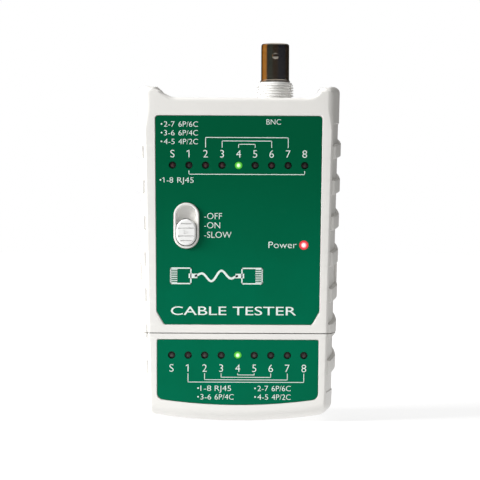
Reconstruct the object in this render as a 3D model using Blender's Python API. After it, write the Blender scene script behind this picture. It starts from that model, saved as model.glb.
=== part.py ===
"""Hand-held network cable tester with a detachable remote end.

The tester stands on its curved lower end: +Z runs from the remote end to the
coaxial socket, -Y is the face with the lamps, +X is to the right of that face.
The origin is the lowest point of the curved end, half way through the depth.
All sizes are in metres.
"""
import math

import bmesh
import bpy

MM = 0.001

# ---------------------------------------------------------------- driving sizes
# Case: two halves, front and rear, that meet on the plane Y = 0.
CASE_HEIGHT = 114.1 * MM
CASE_DEPTH = 29.0 * MM
WALL = 2.0 * MM
SEAM = 0.3 * MM                  # air between pieces that meet
FACE_HALF_TOP = 32.0 * MM        # half width of the front and rear faces
FACE_HALF_BOTTOM = 29.3 * MM
SIDE_HALF_TOP = 34.65 * MM        # half width of the grip channel floor
SIDE_HALF_BOTTOM = 32.05 * MM
FLARE_Y = 6.5 * MM               # depth where the side wall bends
FACE_EDGE = 0.5 * MM             # rounding of the face's long edges
END_EDGE = 4.0 * MM              # rounding of the lower end, front and rear
TOP_EDGE = 1.2 * MM
BOTTOM_RADIUS = 184.0 * MM       # curve of the lower end, seen from the front
CORNER_RADIUS = 2.6 * MM
HORN_RISE = 4.8 * MM             # corner posts stand this far over the top face
HORN_OUTER_RADIUS = 2.0 * MM
LEFT_HORN = (27.9 * MM, 21.6 * MM)   # half widths where the inner curve starts and ends
RIGHT_HORN = (28.6 * MM, 24.8 * MM)
PARTING_Z = 29.8 * MM            # where the remote end docks

# Grip channel and ribs along both sides.
CHANNEL_DEPTH = 0.3 * MM
CHANNEL_MARGIN_TOP = 12.6 * MM
CHANNEL_BOTTOM_Z = 9.5 * MM
RIB_COUNT = 7
RIB_PITCH = 12.15 * MM
RIB_WIDTH = 4.85 * MM
RIB_HEIGHT = 1.2 * MM
RIB_FIRST_Z = 88.8 * MM          # lower front corner of the top rib
RIB_FRONT_Y = 13.6 * MM
RIB_FRONT_RISE = 0.10            # slope of a rib along the front half
RIB_REAR_RISE = 0.30             # and along the rear half

# Circuit boards and lamps.
BOARD_SETBACK = 5.8 * MM         # face to the board's front
BOARD_THICKNESS = 1.6 * MM
BOARD_HALF_WIDTH = 24.2 * MM
LED_COUNT = 9
LED_PITCH = 5.57 * MM
LED_RADIUS = 1.15 * MM
LED_FLANGE = LED_RADIUS + 0.25 * MM
LED_BASE = 0.7 * MM              # thickness of the flange
LED_CLEARANCE = 0.3 * MM         # lamp to the hole in the face
LED_HOLE = LED_RADIUS + LED_CLEARANCE
LED_ROW_DROP = 22.9 * MM         # below the top face
REMOTE_LED_DROP = 7.4 * MM       # below the parting line
POWER_LED_X = 22.1 * MM
POWER_LED_Z = 59.6 * MM
POWER_LED_RADIUS = 1.45 * MM
CHIP_PLACES = (-9.0 * MM, 10.0 * MM)
CHIP_DROP = 29.3 * MM            # below the top face
CHIP_SIZE = (11.5 * MM, 6.0 * MM, 1.7 * MM)
CHIP_PINS = 8                    # along each side
CHIP_PITCH = 1.27 * MM

# Face labels.
LABEL_THICKNESS = 0.25 * MM
LABEL_HALF_TOP = 28.15 * MM
LABEL_HALF_BOTTOM = 27.35 * MM
LABEL_TOP_DROP = 6.25 * MM
LABEL_BOTTOM_RISE = 3.0 * MM     # over the parting line
LABEL_CHAMFER = (2.6 * MM, 4.4 * MM)
REMOTE_LABEL_DROP = 2.2 * MM     # under the parting line
REMOTE_LABEL_BOTTOM_Z = 5.75 * MM

# Slide switch: off, on, slow.
SWITCH_X = -17.5 * MM
SWITCH_Z = 66.0 * MM
SWITCH_TRAVEL = 4.5 * MM
RING_WIDTH = 8.5 * MM
RING_HEIGHT = 15.4 * MM
RING_WALL = 0.7 * MM
RING_RISE = 0.6 * MM
KNOB_WIDTH = 6.6 * MM
KNOB_HEIGHT = 8.9 * MM
KNOB_RISE = 1.2 * MM             # over the face
KNOB_STEM = (1.8 * MM, 2.0 * MM)
KNOB_GROOVES = (-0.32, -0.15, 0.15, 0.32)   # shares of the knob's height from its centre
GROOVE_WIDTH = 0.4 * MM
STEM_DROP = 1.2 * MM             # stem below the knob's centre
WELL_FLOOR = 0.9 * MM
SWITCH_BODY = (4.4 * MM, 13.0 * MM, 2.1 * MM)
SWITCH_LEVER = (2.0 * MM, 3.0 * MM)

# Coaxial socket.
BNC_X = 12.5 * MM
BNC_BARREL_RADIUS = 4.825 * MM
BNC_BORE_RADIUS = 4.05 * MM
BNC_BARREL_LENGTH = 13.1 * MM
BNC_COLLAR_RADIUS = 6.35 * MM
BNC_COLLAR_RISE = 6.2 * MM       # over the top face
BNC_THREAD_PITCH = 0.907 * MM
BNC_INSULATOR_RADIUS = 2.4 * MM
BNC_CONTACT_RADIUS = 1.08 * MM
BNC_MOUTH_DEPTH = 4.9 * MM
BNC_LUG_RADIUS = 1.0 * MM
BNC_LUG_RISE = 0.75 * MM
BNC_LUG_DROP = 4.55 * MM         # below the rim
BNC_FOOT_RADIUS = BNC_BARREL_RADIUS + 0.3 * MM
BNC_FOOT_HEIGHT = 0.6 * MM
BNC_HOUSING_HEIGHT = 12.0 * MM
BNC_HOUSING_MARGIN = 0.65 * MM   # around the collar

# Eight-way modular sockets.
JACK_X = -12.0 * MM
JACK_WIDTH = 16.0 * MM
JACK_DEPTH = 13.2 * MM
JACK_LENGTH = 18.0 * MM
JACK_MOUTH = (11.9 * MM, 8.2 * MM)
JACK_CAVITY = 13.0 * MM
JACK_FRONT_WALL = 2.3 * MM       # board side, behind the contacts
JACK_LATCH = (6.2 * MM, 1.5 * MM)    # width and depth of the latch channel
FINGER_THICKNESS = 0.36 * MM
CONTACT_COUNT = 8
CONTACT_PITCH = 1.02 * MM

# Nine-volt battery, its bay and its door.
BATTERY_BODY = (46.4 * MM, 17.5 * MM, 26.5 * MM)
BATTERY_CORNER = 2.5 * MM
BATTERY_TERMINAL = 2.1 * MM
TERMINAL_SPACING = 12.95 * MM
SOCKET_STUD_RADIUS = 2.9 * MM
PLUG_STUD_RADIUS = 2.6 * MM
SNAP_ROOM = 8.0 * MM             # bay length kept for the snap and its leads
SNAP_SIZE = (3.6 * MM, 12.0 * MM, 25.0 * MM)
SNAP_POCKET_RADIUS = 3.3 * MM
LEAD_RADIUS = 0.6 * MM
LEAD_SPACING = 1.8 * MM
LEAD_INSET = 2.2 * MM            # from the end of the bay
BAY_WALL = 1.0 * MM
BAY_BOTTOM_RISE = 7.2 * MM       # bay floor over the parting line
BAY_HALF_WIDTH = 27.6 * MM
BAY_CLEARANCE = 1.5 * MM         # above and below the battery
LEAD_HEADROOM = 8.0 * MM         # room for the leads between the bay and the screws
DOOR_THICKNESS = 1.9 * MM
EAR_PROUD = 0.95 * MM            # ear over the channel floor
EAR_INWARD = 1.9 * MM            # and into the wall

# Docking tongues on the remote end.
TONGUE_X = 22.0 * MM
TONGUE_SIZE = (8.0 * MM, 2.0 * MM, 4.8 * MM)
TONGUE_Y = 4.0 * MM

# Case screws.
SCREW_X = 27.2 * MM
BOSS_RADIUS = 2.6 * MM
SCREW_RADIUS = 1.1 * MM
SCREW_HEAD_RADIUS = 2.1 * MM
SCREW_HEAD = 1.4 * MM
SCREW_TIP_DEPTH = 6.9 * MM       # tip behind the face
PILOT_DEPTH = 6.2 * MM
REMOTE_SCREW_X = 26.8 * MM
REMOTE_SCREW_Z = 14.0 * MM

# ---------------------------------------------------------------- derived places
FACE_Y = -CASE_DEPTH / 2
REAR_Y = CASE_DEPTH / 2
INNER_FACE_Y = FACE_Y + WALL
TOP_FACE_Z = CASE_HEIGHT - HORN_RISE
MASTER_FLOOR_Z = PARTING_Z + SEAM / 2
REMOTE_TOP_Z = PARTING_Z - SEAM / 2
BOARD_FRONT_Y = FACE_Y + BOARD_SETBACK
BOARD_REAR_Y = BOARD_FRONT_Y + BOARD_THICKNESS
LED_ROW_Z = TOP_FACE_Z - LED_ROW_DROP
CHIP_Z = TOP_FACE_Z - CHIP_DROP
REMOTE_LED_Z = PARTING_Z - REMOTE_LED_DROP
LABEL_FRONT_Y = FACE_Y + 0.05 * MM
LABEL_SEAT = 0.05 * MM + LABEL_THICKNESS + SEAM
LED_TIP_Y = LABEL_FRONT_Y + LABEL_THICKNESS + 0.05 * MM
JACK_FRONT_Y = BOARD_REAR_Y + SEAM
JACK_REAR_Y = JACK_FRONT_Y + JACK_DEPTH
JACK_TOP_Z = TOP_FACE_Z + SEAM
BNC_COLLAR_TOP_Z = TOP_FACE_Z + BNC_COLLAR_RISE
BNC_BARREL_Z = BNC_COLLAR_TOP_Z + SEAM
BNC_TOP_Z = BNC_BARREL_Z + BNC_BARREL_LENGTH
BAY_FLOOR_Z = PARTING_Z + BAY_BOTTOM_RISE
BAY_TOP_Z = BAY_FLOOR_Z + BATTERY_BODY[2] + 2 * BAY_CLEARANCE
BATTERY_REAR_Y = REAR_Y - DOOR_THICKNESS - 0.5 * MM
BATTERY_FRONT_Y = BATTERY_REAR_Y - BATTERY_BODY[1]
BAY_INNER_Y = BATTERY_FRONT_Y - SEAM
UPPER_SCREW_Z = TOP_FACE_Z - WALL - BOSS_RADIUS - 1.2 * MM
LOWER_SCREW_Z = BAY_TOP_Z + BAY_WALL + BOSS_RADIUS + LEAD_HEADROOM
REMOTE_FLOOR_Z = FACE_HALF_BOTTOM ** 2 / (2 * BOTTOM_RADIUS) + WALL
KNOB_REST_Z = SWITCH_Z - SWITCH_TRAVEL / 2
KNOB_BASE_Y = FACE_Y + WALL - WELL_FLOOR - SEAM
STEM_REST_Z = KNOB_REST_Z - STEM_DROP
SWITCH_AXIS = (SWITCH_X, FACE_Y, KNOB_REST_Z)
DOOR_AXIS = (0.0, REAR_Y, (BAY_FLOOR_Z + BAY_TOP_Z) / 2)
REMOTE_AXIS = (0.0, 0.0, PARTING_Z)


def clear_scene():
    for old in list(bpy.data.objects):
        bpy.data.objects.remove(old, do_unlink=True)


# ---------------------------------------------------------------- materials
def material(name, color, roughness, metallic=0.0):
    finish = bpy.data.materials.new(name)
    finish.use_nodes = True
    shader = finish.node_tree.nodes["Principled BSDF"]
    shader.inputs["Base Color"].default_value = (*color, 1.0)
    shader.inputs["Roughness"].default_value = roughness
    shader.inputs["Metallic"].default_value = metallic
    finish.diffuse_color = (*color, 1.0)
    return finish


# ---------------------------------------------------------------- mesh builders
def loft(loops):
    """A closed solid through loops of equal length, capped at both ends."""
    bm = bmesh.new()
    rings = [[bm.verts.new(point) for point in loop] for loop in loops]
    count = len(rings[0])
    for low, high in zip(rings, rings[1:]):
        for i in range(count):
            j = (i + 1) % count
            bm.faces.new((low[i], low[j], high[j], high[i]))
    bm.faces.new(list(reversed(rings[0])))
    bm.faces.new(rings[-1])
    bmesh.ops.recalc_face_normals(bm, faces=bm.faces)
    return bm


def block(low, high):
    (x0, y0, z0), (x1, y1, z1) = low, high
    outline = [(x0, y0), (x1, y0), (x1, y1), (x0, y1)]
    return loft([[(x, y, z) for x, y in outline] for z in (z0, z1)])


def plate(outline, y0, y1):
    """A flat outline in X and Z, extruded through the depth."""
    return loft([[(x, y, z) for x, z in outline] for y in (y0, y1)])


def turned(profile, centre, axis, segments=24):
    """A solid turned about an axis: the profile is (radius, place along the axis)."""
    bm = bmesh.new()
    rings = []
    for radius, along in profile:
        ring = []
        for i in range(segments if radius > 0 else 1):
            angle = 2 * math.pi * (i + 0.5) / segments
            u = radius * math.cos(angle)
            v = radius * math.sin(angle)
            offset = (u, along, v) if axis == "Y" else (u, v, along)
            ring.append(bm.verts.new([c + o for c, o in zip(centre, offset)]))
        rings.append(ring)
    for low, high in zip(rings, rings[1:]):
        for i in range(segments):
            j = (i + 1) % segments
            corners = [low[i % len(low)], low[j % len(low)], high[j % len(high)], high[i % len(high)]]
            unique = list(dict.fromkeys(corners))
            bm.faces.new(unique)
    for ring, turn in ((rings[0], -1), (rings[-1], 1)):
        if len(ring) > 1:
            bm.faces.new(ring[::turn])
    bmesh.ops.recalc_face_normals(bm, faces=bm.faces)
    return bm


def ring_turned(profile, centre, axis, segments=24):
    """Like turned, for a closed profile that never meets the axis, such as a tube."""
    bm = bmesh.new()
    rings = []
    for radius, along in profile:
        ring = []
        for i in range(segments):
            angle = 2 * math.pi * (i + 0.5) / segments
            u = radius * math.cos(angle)
            v = radius * math.sin(angle)
            offset = (u, along, v) if axis == "Y" else (u, v, along)
            ring.append(bm.verts.new([c + o for c, o in zip(centre, offset)]))
        rings.append(ring)
    for low, high in zip(rings, rings[1:] + rings[:1]):
        for i in range(segments):
            j = (i + 1) % segments
            bm.faces.new((low[i], low[j], high[j], high[i]))
    bmesh.ops.recalc_face_normals(bm, faces=bm.faces)
    return bm


def rod(radius, centre, axis, low, high, segments=20):
    return turned([(radius, low), (radius, high)], centre, axis, segments)


def stadium(width, height, centre, steps=6, radius=None):
    """A rounded outline in X and Z, fully round at its ends unless a radius is given."""
    radius = radius or width / 2
    outline = []
    corners = ((1, 1, 0), (-1, 1, 1), (-1, -1, 2), (1, -1, 3))
    for sx, sz, quarter in corners:
        cx = centre[0] + sx * (width / 2 - radius)
        cz = centre[1] + sz * (height / 2 - radius)
        for k in range(steps + 1):
            angle = math.pi / 2 * (quarter + k / steps)
            outline.append((cx + radius * math.cos(angle), cz + radius * math.sin(angle)))
    kept = [p for p, q in zip(outline, outline[1:] + outline[:1]) if math.dist(p, q) > 1e-7]
    return kept


def joined(meshes):
    """Several loose solids in one mesh, for use as one cutter."""
    bm = bmesh.new()
    for piece in meshes:
        held = bpy.data.meshes.new("held")
        piece.to_mesh(held)
        piece.free()
        bm.from_mesh(held)
        bpy.data.meshes.remove(held)
    return bm


def clipped(bm, height, keep_above):
    """The solid above or below a level plane, closed again along the cut."""
    geometry = bm.verts[:] + bm.edges[:] + bm.faces[:]
    bmesh.ops.bisect_plane(bm, geom=geometry, plane_co=(0, 0, height), plane_no=(0, 0, 1),
                           clear_inner=keep_above, clear_outer=not keep_above)
    rim = [edge for edge in bm.edges if edge.is_boundary]
    bmesh.ops.holes_fill(bm, edges=rim)
    bmesh.ops.recalc_face_normals(bm, faces=bm.faces)
    return bm


def empty(name, place):
    marker = bpy.data.objects.new(name, None)
    marker.location = place
    marker.empty_display_size = 0.01
    bpy.context.scene.collection.objects.link(marker)
    return marker


def add_object(name, bm, parent=None):
    mesh = bpy.data.meshes.new(name)
    if parent is not None:
        bmesh.ops.translate(bm, vec=[-c for c in parent.location], verts=bm.verts)
    bm.to_mesh(mesh)
    bm.free()
    item = bpy.data.objects.new(name, mesh)
    item.parent = parent
    bpy.context.scene.collection.objects.link(item)
    return item


def piece(name, bm, finish, parent=None, smooth=False):
    item = add_object(name, bm, parent)
    item.data.materials.append(finish)
    if smooth:
        item.data.shade_smooth()
        item.data.set_sharp_from_angle(angle=math.radians(35))
    return item


def combine(item, operation, label, meshes, parent=None):
    """Cuts, unites or intersects a piece with hidden solids."""
    tool = add_object(item.name + "_" + label, joined(meshes), parent)
    tool.hide_render = True
    tool.display_type = "WIRE"
    step = item.modifiers.new(label, "BOOLEAN")
    step.operation = operation
    step.solver = "EXACT"
    step.object = tool


# ---------------------------------------------------------------- case surfaces
def face_half(z):
    return FACE_HALF_BOTTOM + (FACE_HALF_TOP - FACE_HALF_BOTTOM) * z / CASE_HEIGHT


def side_half(z):
    return SIDE_HALF_BOTTOM + (SIDE_HALF_TOP - SIDE_HALF_BOTTOM) * z / CASE_HEIGHT


def wall_half(y, z, proud=0.0):
    """Half width of the side wall at a depth and height, over the channel floor by proud."""
    face = face_half(z)
    side = side_half(z) + proud
    if y <= 0:
        knots = [(FACE_Y + FACE_EDGE, face), (-FLARE_Y, face + 0.6 * (side - face)), (0.0, side)]
    else:
        knots = [(0.0, side), (FLARE_Y, side - 0.35 * MM), (REAR_Y - 3 * FACE_EDGE, face + 0.5 * MM),
                 (REAR_Y, face - FACE_EDGE)]
    for (y0, x0), (y1, x1) in zip(knots, knots[1:]):
        if y <= y1:
            return x0 + (x1 - x0) * max(0.0, (y - y0) / (y1 - y0))
    return knots[-1][1]


def half_outline(z, proud, front):
    """Outer outline of one case half in X and Y at a height."""
    face = face_half(z)
    if front:
        right = [(face - FACE_EDGE, FACE_Y), (face - 0.3 * FACE_EDGE, FACE_Y + 0.3 * FACE_EDGE)]
        right += [(wall_half(y, z, proud), y) for y in (FACE_Y + FACE_EDGE, -FLARE_Y, -SEAM / 2)]
    else:
        right = [(face - 2 * FACE_EDGE, REAR_Y), (face - 0.6 * FACE_EDGE, REAR_Y - 0.7 * FACE_EDGE)]
        right += [(wall_half(y, z, proud), y) for y in (REAR_Y - 3 * FACE_EDGE, FLARE_Y, SEAM / 2)]
    return right + [(-x, y) for x, y in reversed(right)]


def half_body(z_low, z_high, front):
    """One case half, solid: horn surface at the ends, channel floor between them."""
    channel_top = CASE_HEIGHT - CHANNEL_MARGIN_TOP
    step = 0.15 * MM
    levels = [(CHANNEL_BOTTOM_Z - step, CHANNEL_DEPTH), (CHANNEL_BOTTOM_Z + step, 0.0),
              (channel_top - step, 0.0), (channel_top + step, CHANNEL_DEPTH)]
    inside = [level for level in levels if z_low < level[0] < z_high]
    first = 0.0 if z_low > CHANNEL_BOTTOM_Z else CHANNEL_DEPTH
    last = 0.0 if z_high < channel_top else CHANNEL_DEPTH
    stations = [(z_low, first)] + inside + [(z_high, last)]
    return loft([[(x, y, z) for x, y in half_outline(z, proud, front)] for z, proud in stations])


def half_cavity(z_low, z_high, front):
    """The hollow of one case half, open at the middle plane."""
    depths = (INNER_FACE_Y, -FLARE_Y, 1 * MM) if front else (REAR_Y - WALL, FLARE_Y, -1 * MM)
    loops = []
    for z in (z_low, z_high):
        right = [(wall_half(y, z) - WALL * (1.15 if i else 1.6), y) for i, y in enumerate(depths)]
        loops.append([(x, y, z) for x, y in right + [(-x, y) for x, y in reversed(right)]])
    return loft(loops)


def smooth_step(start, end, steps=8):
    """Points of an S curve between two points of the front outline."""
    points = []
    for k in range(steps + 1):
        t = k / steps
        ease = t * t * (3 - 2 * t)
        points.append((start[0] + (end[0] - start[0]) * t, start[1] + (end[1] - start[1]) * ease))
    return points


def front_silhouette():
    """Outline of the case from the front, with wide sides so that the ribs stay whole."""
    wide = SIDE_HALF_TOP + 6 * MM
    horn_low = side_half(0) + CHANNEL_DEPTH + 0.05 * MM
    horn_high = side_half(CASE_HEIGHT) + CHANNEL_DEPTH + 0.05 * MM
    channel_top = CASE_HEIGHT - CHANNEL_MARGIN_TOP
    reach = horn_low - CORNER_RADIUS
    arc = []
    for k in range(16):
        x = -reach + 2 * reach * k / 15
        arc.append((x, BOTTOM_RADIUS - math.sqrt(BOTTOM_RADIUS ** 2 - x * x)))
    flat = arc[7][1]
    arc = [(x, z - flat) for x, z in arc]
    corner_z = arc[-1][1] + CORNER_RADIUS
    corner = [(reach + CORNER_RADIUS * math.cos(a), corner_z + CORNER_RADIUS * math.sin(a))
              for a in (-math.pi / 2 * (1 - k / 5) for k in range(1, 6))]
    top_centre = (horn_high - HORN_OUTER_RADIUS, CASE_HEIGHT - HORN_OUTER_RADIUS)
    top_corner = []
    for k in range(6):
        angle = math.pi / 2 * k / 5
        top_corner.append((top_centre[0] + HORN_OUTER_RADIUS * math.cos(angle),
                           top_centre[1] + HORN_OUTER_RADIUS * math.sin(angle)))
    right = corner + [(horn_low + 0.4 * MM, CHANNEL_BOTTOM_Z - 1 * MM), (wide, CHANNEL_BOTTOM_Z - 0.5 * MM),
                      (wide, channel_top + 0.5 * MM), (horn_high, channel_top + 1 * MM)] + top_corner
    left = [(-x, z) for x, z in reversed(right)]
    right_curve = smooth_step((RIGHT_HORN[0], CASE_HEIGHT), (RIGHT_HORN[1], TOP_FACE_Z))
    left_curve = smooth_step((-LEFT_HORN[1], TOP_FACE_Z), (-LEFT_HORN[0], CASE_HEIGHT))
    return arc + right + right_curve + left_curve + left


def side_silhouette():
    """Outline of the case from the side, in Y and Z, with the ends rounded."""
    outline = []
    for y_centre, z_centre, radius, quarter in (
            (REAR_Y - TOP_EDGE, CASE_HEIGHT - TOP_EDGE, TOP_EDGE, 0),
            (FACE_Y + TOP_EDGE, CASE_HEIGHT - TOP_EDGE, TOP_EDGE, 1),
            (FACE_Y + END_EDGE, END_EDGE, END_EDGE, 2),
            (REAR_Y - END_EDGE, END_EDGE, END_EDGE, 3)):
        for k in range(5):
            angle = math.pi / 2 * (quarter + k / 4)
            outline.append((y_centre + radius * math.cos(angle), z_centre + radius * math.sin(angle)))
    margin = 0.01 * MM
    middle = CASE_HEIGHT / 2
    stretched = [(y + math.copysign(margin, y), z + math.copysign(margin, z - middle)) for y, z in outline]
    wide = SIDE_HALF_TOP + 8 * MM
    return loft([[(x, y, z) for y, z in stretched] for x in (-wide, wide)])


def rib_rise(y):
    """How far a rib has climbed at a depth, from its front end."""
    front = RIB_FRONT_RISE * (min(y, 0.0) + RIB_FRONT_Y)
    return front + RIB_REAR_RISE * max(y, 0.0)


def slanted_bar(z_low, z_high, depths, proud, inward, side):
    """A bar along the side wall between two depths that climbs with the ribs."""
    loops = []
    for y in depths:
        low = z_low + rib_rise(y)
        high = z_high + rib_rise(y)
        corners = [(-inward, low), (proud, low), (proud, high), (-inward, high)]
        loops.append([(side * (wall_half(y, z) + over), y, z) for over, z in corners])
    return loft(loops)


def ribs(z_low, z_high, front):
    """The grip ribs of one case half, clipped to the heights of its housing."""
    depths = [-RIB_FRONT_Y, -FLARE_Y, -SEAM / 2] if front else [SEAM / 2, FLARE_Y, REAR_Y - 3.4 * MM]
    bars = []
    for k in range(RIB_COUNT):
        base = RIB_FIRST_Z - k * RIB_PITCH
        bar_low = base + rib_rise(depths[0])
        bar_high = base + RIB_WIDTH + rib_rise(depths[-1])
        if bar_high < z_low + 0.3 * MM or bar_low > z_high - 0.3 * MM:
            continue
        for side in (-1, 1):
            bar = slanted_bar(base, base + RIB_WIDTH, depths, RIB_HEIGHT, 1.0 * MM, side)
            lowest = min(v.co.z for v in bar.verts)
            highest = max(v.co.z for v in bar.verts)
            if lowest < z_low:
                bar = clipped(bar, z_low, True)
            if highest > z_high:
                bar = clipped(bar, z_high, False)
            bars.append(bar)
    return bars


def led_places():
    middle = (LED_COUNT - 1) / 2
    return [LED_PITCH * (i - middle) for i in range(LED_COUNT)]


def boss(x, z, front):
    """Screw pillar between the face and the middle plane."""
    if front:
        return rod(BOSS_RADIUS, (x, 0, z), "Y", INNER_FACE_Y - 1 * MM, -SEAM / 2, 16)
    return rod(BOSS_RADIUS, (x, 0, z), "Y", SEAM / 2, REAR_Y - 1 * MM, 16)


def master_screw_places():
    return [(side * SCREW_X, z) for side in (-1, 1) for z in (UPPER_SCREW_Z, LOWER_SCREW_Z)]


def pilot_hole(x, z):
    return rod(SCREW_RADIUS + SEAM, (x, 0, z), "Y", FACE_Y + PILOT_DEPTH, 1 * MM, 12)


def screw_hole(x, z):
    """Clearance hole and counterbore for a case screw, entered from the rear."""
    head_seat = REAR_Y - WALL - SCREW_HEAD
    return turned([(SCREW_RADIUS + SEAM, -1 * MM), (SCREW_RADIUS + SEAM, head_seat),
                   (SCREW_HEAD_RADIUS + SEAM, head_seat), (SCREW_HEAD_RADIUS + SEAM, REAR_Y + 1 * MM)],
                  (x, 0, z), "Y", 16)


def case_screw(x, z):
    """Self-tapping screw with a pan head and a cross recess."""
    seat = REAR_Y - WALL - SCREW_HEAD + SEAM
    tip = FACE_Y + SCREW_TIP_DEPTH
    point = [(0, tip), (0.6 * SCREW_RADIUS, tip + 0.4 * SCREW_RADIUS), (SCREW_RADIUS, tip + 1.3 * SCREW_RADIUS)]
    head = [(SCREW_RADIUS, seat), (SCREW_HEAD_RADIUS, seat), (SCREW_HEAD_RADIUS, seat + 0.7 * SCREW_HEAD),
            (0.7 * SCREW_HEAD_RADIUS, seat + SCREW_HEAD), (0, seat + SCREW_HEAD)]
    return turned(point + head, (x, 0, z), "Y", 16)


def cross_recess(x, z):
    seat = REAR_Y - WALL + SEAM
    arm = 0.6 * SCREW_HEAD_RADIUS
    slot = 0.17 * SCREW_HEAD_RADIUS
    depth = 0.5 * SCREW_HEAD
    outline = [(slot, slot), (slot, arm), (-slot, arm), (-slot, slot), (-arm, slot), (-arm, -slot),
               (-slot, -slot), (-slot, -arm), (slot, -arm), (slot, -slot), (arm, -slot), (arm, slot)]
    return plate([(x + u, z + v) for u, v in outline], seat - depth, seat + 1 * MM)


# ---------------------------------------------------------------- labels
def master_label_outline(grow=0.0):
    top = TOP_FACE_Z - LABEL_TOP_DROP + grow
    bottom = PARTING_Z + LABEL_BOTTOM_RISE - grow
    half_low = LABEL_HALF_BOTTOM + grow
    half_high = LABEL_HALF_TOP + grow
    right = [(half_low - LABEL_CHAMFER[0], bottom), (half_low, bottom + LABEL_CHAMFER[1]),
             (half_high, top - 0.9 * MM), (half_high - 0.3 * MM, top - 0.25 * MM), (half_high - 0.9 * MM, top)]
    return right + [(-x, z) for x, z in reversed(right)]


def remote_label_outline(grow=0.0):
    top = PARTING_Z - REMOTE_LABEL_DROP + grow
    half = LABEL_HALF_BOTTOM - 0.3 * MM + grow
    radius = 2.0 * MM
    right = []
    for k in range(7):
        x = (half - radius) * k / 6
        right.append((x, REMOTE_LABEL_BOTTOM_Z - grow + x * x / (2 * BOTTOM_RADIUS)))
    low = right[-1][1]
    for k in range(1, 5):
        angle = -math.pi / 2 * (1 - k / 4)
        right.append((half - radius + radius * math.cos(angle), low + radius + radius * math.sin(angle)))
    right.append((half + 0.1 * MM, top))
    return right + [(-x, z) for x, z in reversed(right[1:])]


def led_bores(z, radius, y_low, y_high):
    return [rod(radius, (x, 0, z), "Y", y_low, y_high, 14) for x in led_places()]


# ---------------------------------------------------------------- master housing
def build_master_front(plastic):
    body = half_body(MASTER_FLOOR_Z, CASE_HEIGHT, True)
    shell = piece("master_front_shell", body, plastic)
    combine(shell, "UNION", "ribs", ribs(MASTER_FLOOR_Z, CASE_HEIGHT, True))
    combine(shell, "INTERSECT", "front_shape", [plate(front_silhouette(), FACE_Y - 5 * MM, 1 * MM)])
    combine(shell, "INTERSECT", "side_shape", [side_silhouette()])
    combine(shell, "DIFFERENCE", "hollow", [half_cavity(MASTER_FLOOR_Z + WALL, TOP_FACE_Z - WALL, True)])
    places = master_screw_places()
    combine(shell, "UNION", "bosses", [boss(x, z, True) for x, z in places])
    ring = plate(stadium(RING_WIDTH, RING_HEIGHT, (SWITCH_X, SWITCH_Z)), FACE_Y - RING_RISE,
                 INNER_FACE_Y - 0.5 * MM)
    combine(shell, "DIFFERENCE", "label_seat",
            [plate(master_label_outline(0.15 * MM), FACE_Y - 1 * MM, FACE_Y + LABEL_SEAT)])
    combine(shell, "UNION", "switch_ring", [ring])
    well = plate(stadium(RING_WIDTH - 2 * RING_WALL, RING_HEIGHT - 2 * RING_WALL, (SWITCH_X, SWITCH_Z)),
                 FACE_Y - 2 * MM, INNER_FACE_Y - WELL_FLOOR)
    combine(shell, "DIFFERENCE", "switch_well", [well])
    slot_half = KNOB_STEM[0] / 2 + SEAM
    stem_low = STEM_REST_Z - KNOB_STEM[1] / 2 - SEAM
    stem_high = STEM_REST_Z + SWITCH_TRAVEL + KNOB_STEM[1] / 2 + SEAM
    openings = [pilot_hole(x, z) for x, z in places]
    openings += led_bores(LED_ROW_Z, LED_HOLE, FACE_Y - 1 * MM, INNER_FACE_Y + 1 * MM)
    openings.append(rod(POWER_LED_RADIUS + SEAM, (POWER_LED_X, 0, POWER_LED_Z), "Y", FACE_Y - 1 * MM,
                        INNER_FACE_Y + 1 * MM, 16))
    openings.append(block((SWITCH_X - slot_half, INNER_FACE_Y - 3 * MM, stem_low),
                          (SWITCH_X + slot_half, INNER_FACE_Y + 1 * MM, stem_high)))
    openings.append(jack_cut(JACK_X, JACK_TOP_Z))
    openings.append(bnc_cut())
    combine(shell, "DIFFERENCE", "openings", openings)
    return shell


def jack_cut(x, top):
    half = JACK_WIDTH / 2 + SEAM
    return block((x - half, JACK_FRONT_Y - SEAM, top - 5 * MM), (x + half, JACK_REAR_Y + SEAM, top + 2 * MM))


def bnc_cut():
    return rod(BNC_COLLAR_RADIUS + SEAM, (BNC_X, 0, 0), "Z", TOP_FACE_Z - 4 * MM, TOP_FACE_Z + 4 * MM, 32)


def ear_heights(grow):
    """Lowest and highest place of the ears at the start of the ribs: between the fourth and fifth ribs."""
    low = RIB_FIRST_Z - 4 * RIB_PITCH + RIB_WIDTH + 2 * SEAM - grow
    high = RIB_FIRST_Z - 3 * RIB_PITCH - 2 * SEAM + grow
    return low, high


def ear_notches():
    """Where the ears lie in the rear shell, with room all round and open to the outside."""
    low, high = ear_heights(SEAM)
    depths = [-1 * MM, FLARE_Y, REAR_Y - 3.3 * MM, REAR_Y + 1 * MM]
    return [slanted_bar(low, high, depths, 3 * MM, EAR_INWARD + SEAM, side) for side in (-1, 1)]


def ears():
    """The door's side grips. They climb with the ribs, so the door slides off along that slope."""
    low, high = ear_heights(0.0)
    depths = [1.5 * SEAM, FLARE_Y, REAR_Y - 3.3 * MM, REAR_Y - 0.8 * MM]
    return [slanted_bar(low, high, depths, EAR_PROUD, EAR_INWARD, side) for side in (-1, 1)]


def sloped_panel(x_low, x_high, z_low, z_high, y_low, y_high):
    """A panel in the rear face whose top edge slopes with the ribs, to clear the case as it slides off."""
    loops = []
    for y in (y_low, y_high):
        top = z_high + RIB_REAR_RISE * (y - REAR_Y)
        loops.append([(x_low, y, z_low), (x_high, y, z_low), (x_high, y, top), (x_low, y, top)])
    return loft(loops)


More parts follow.
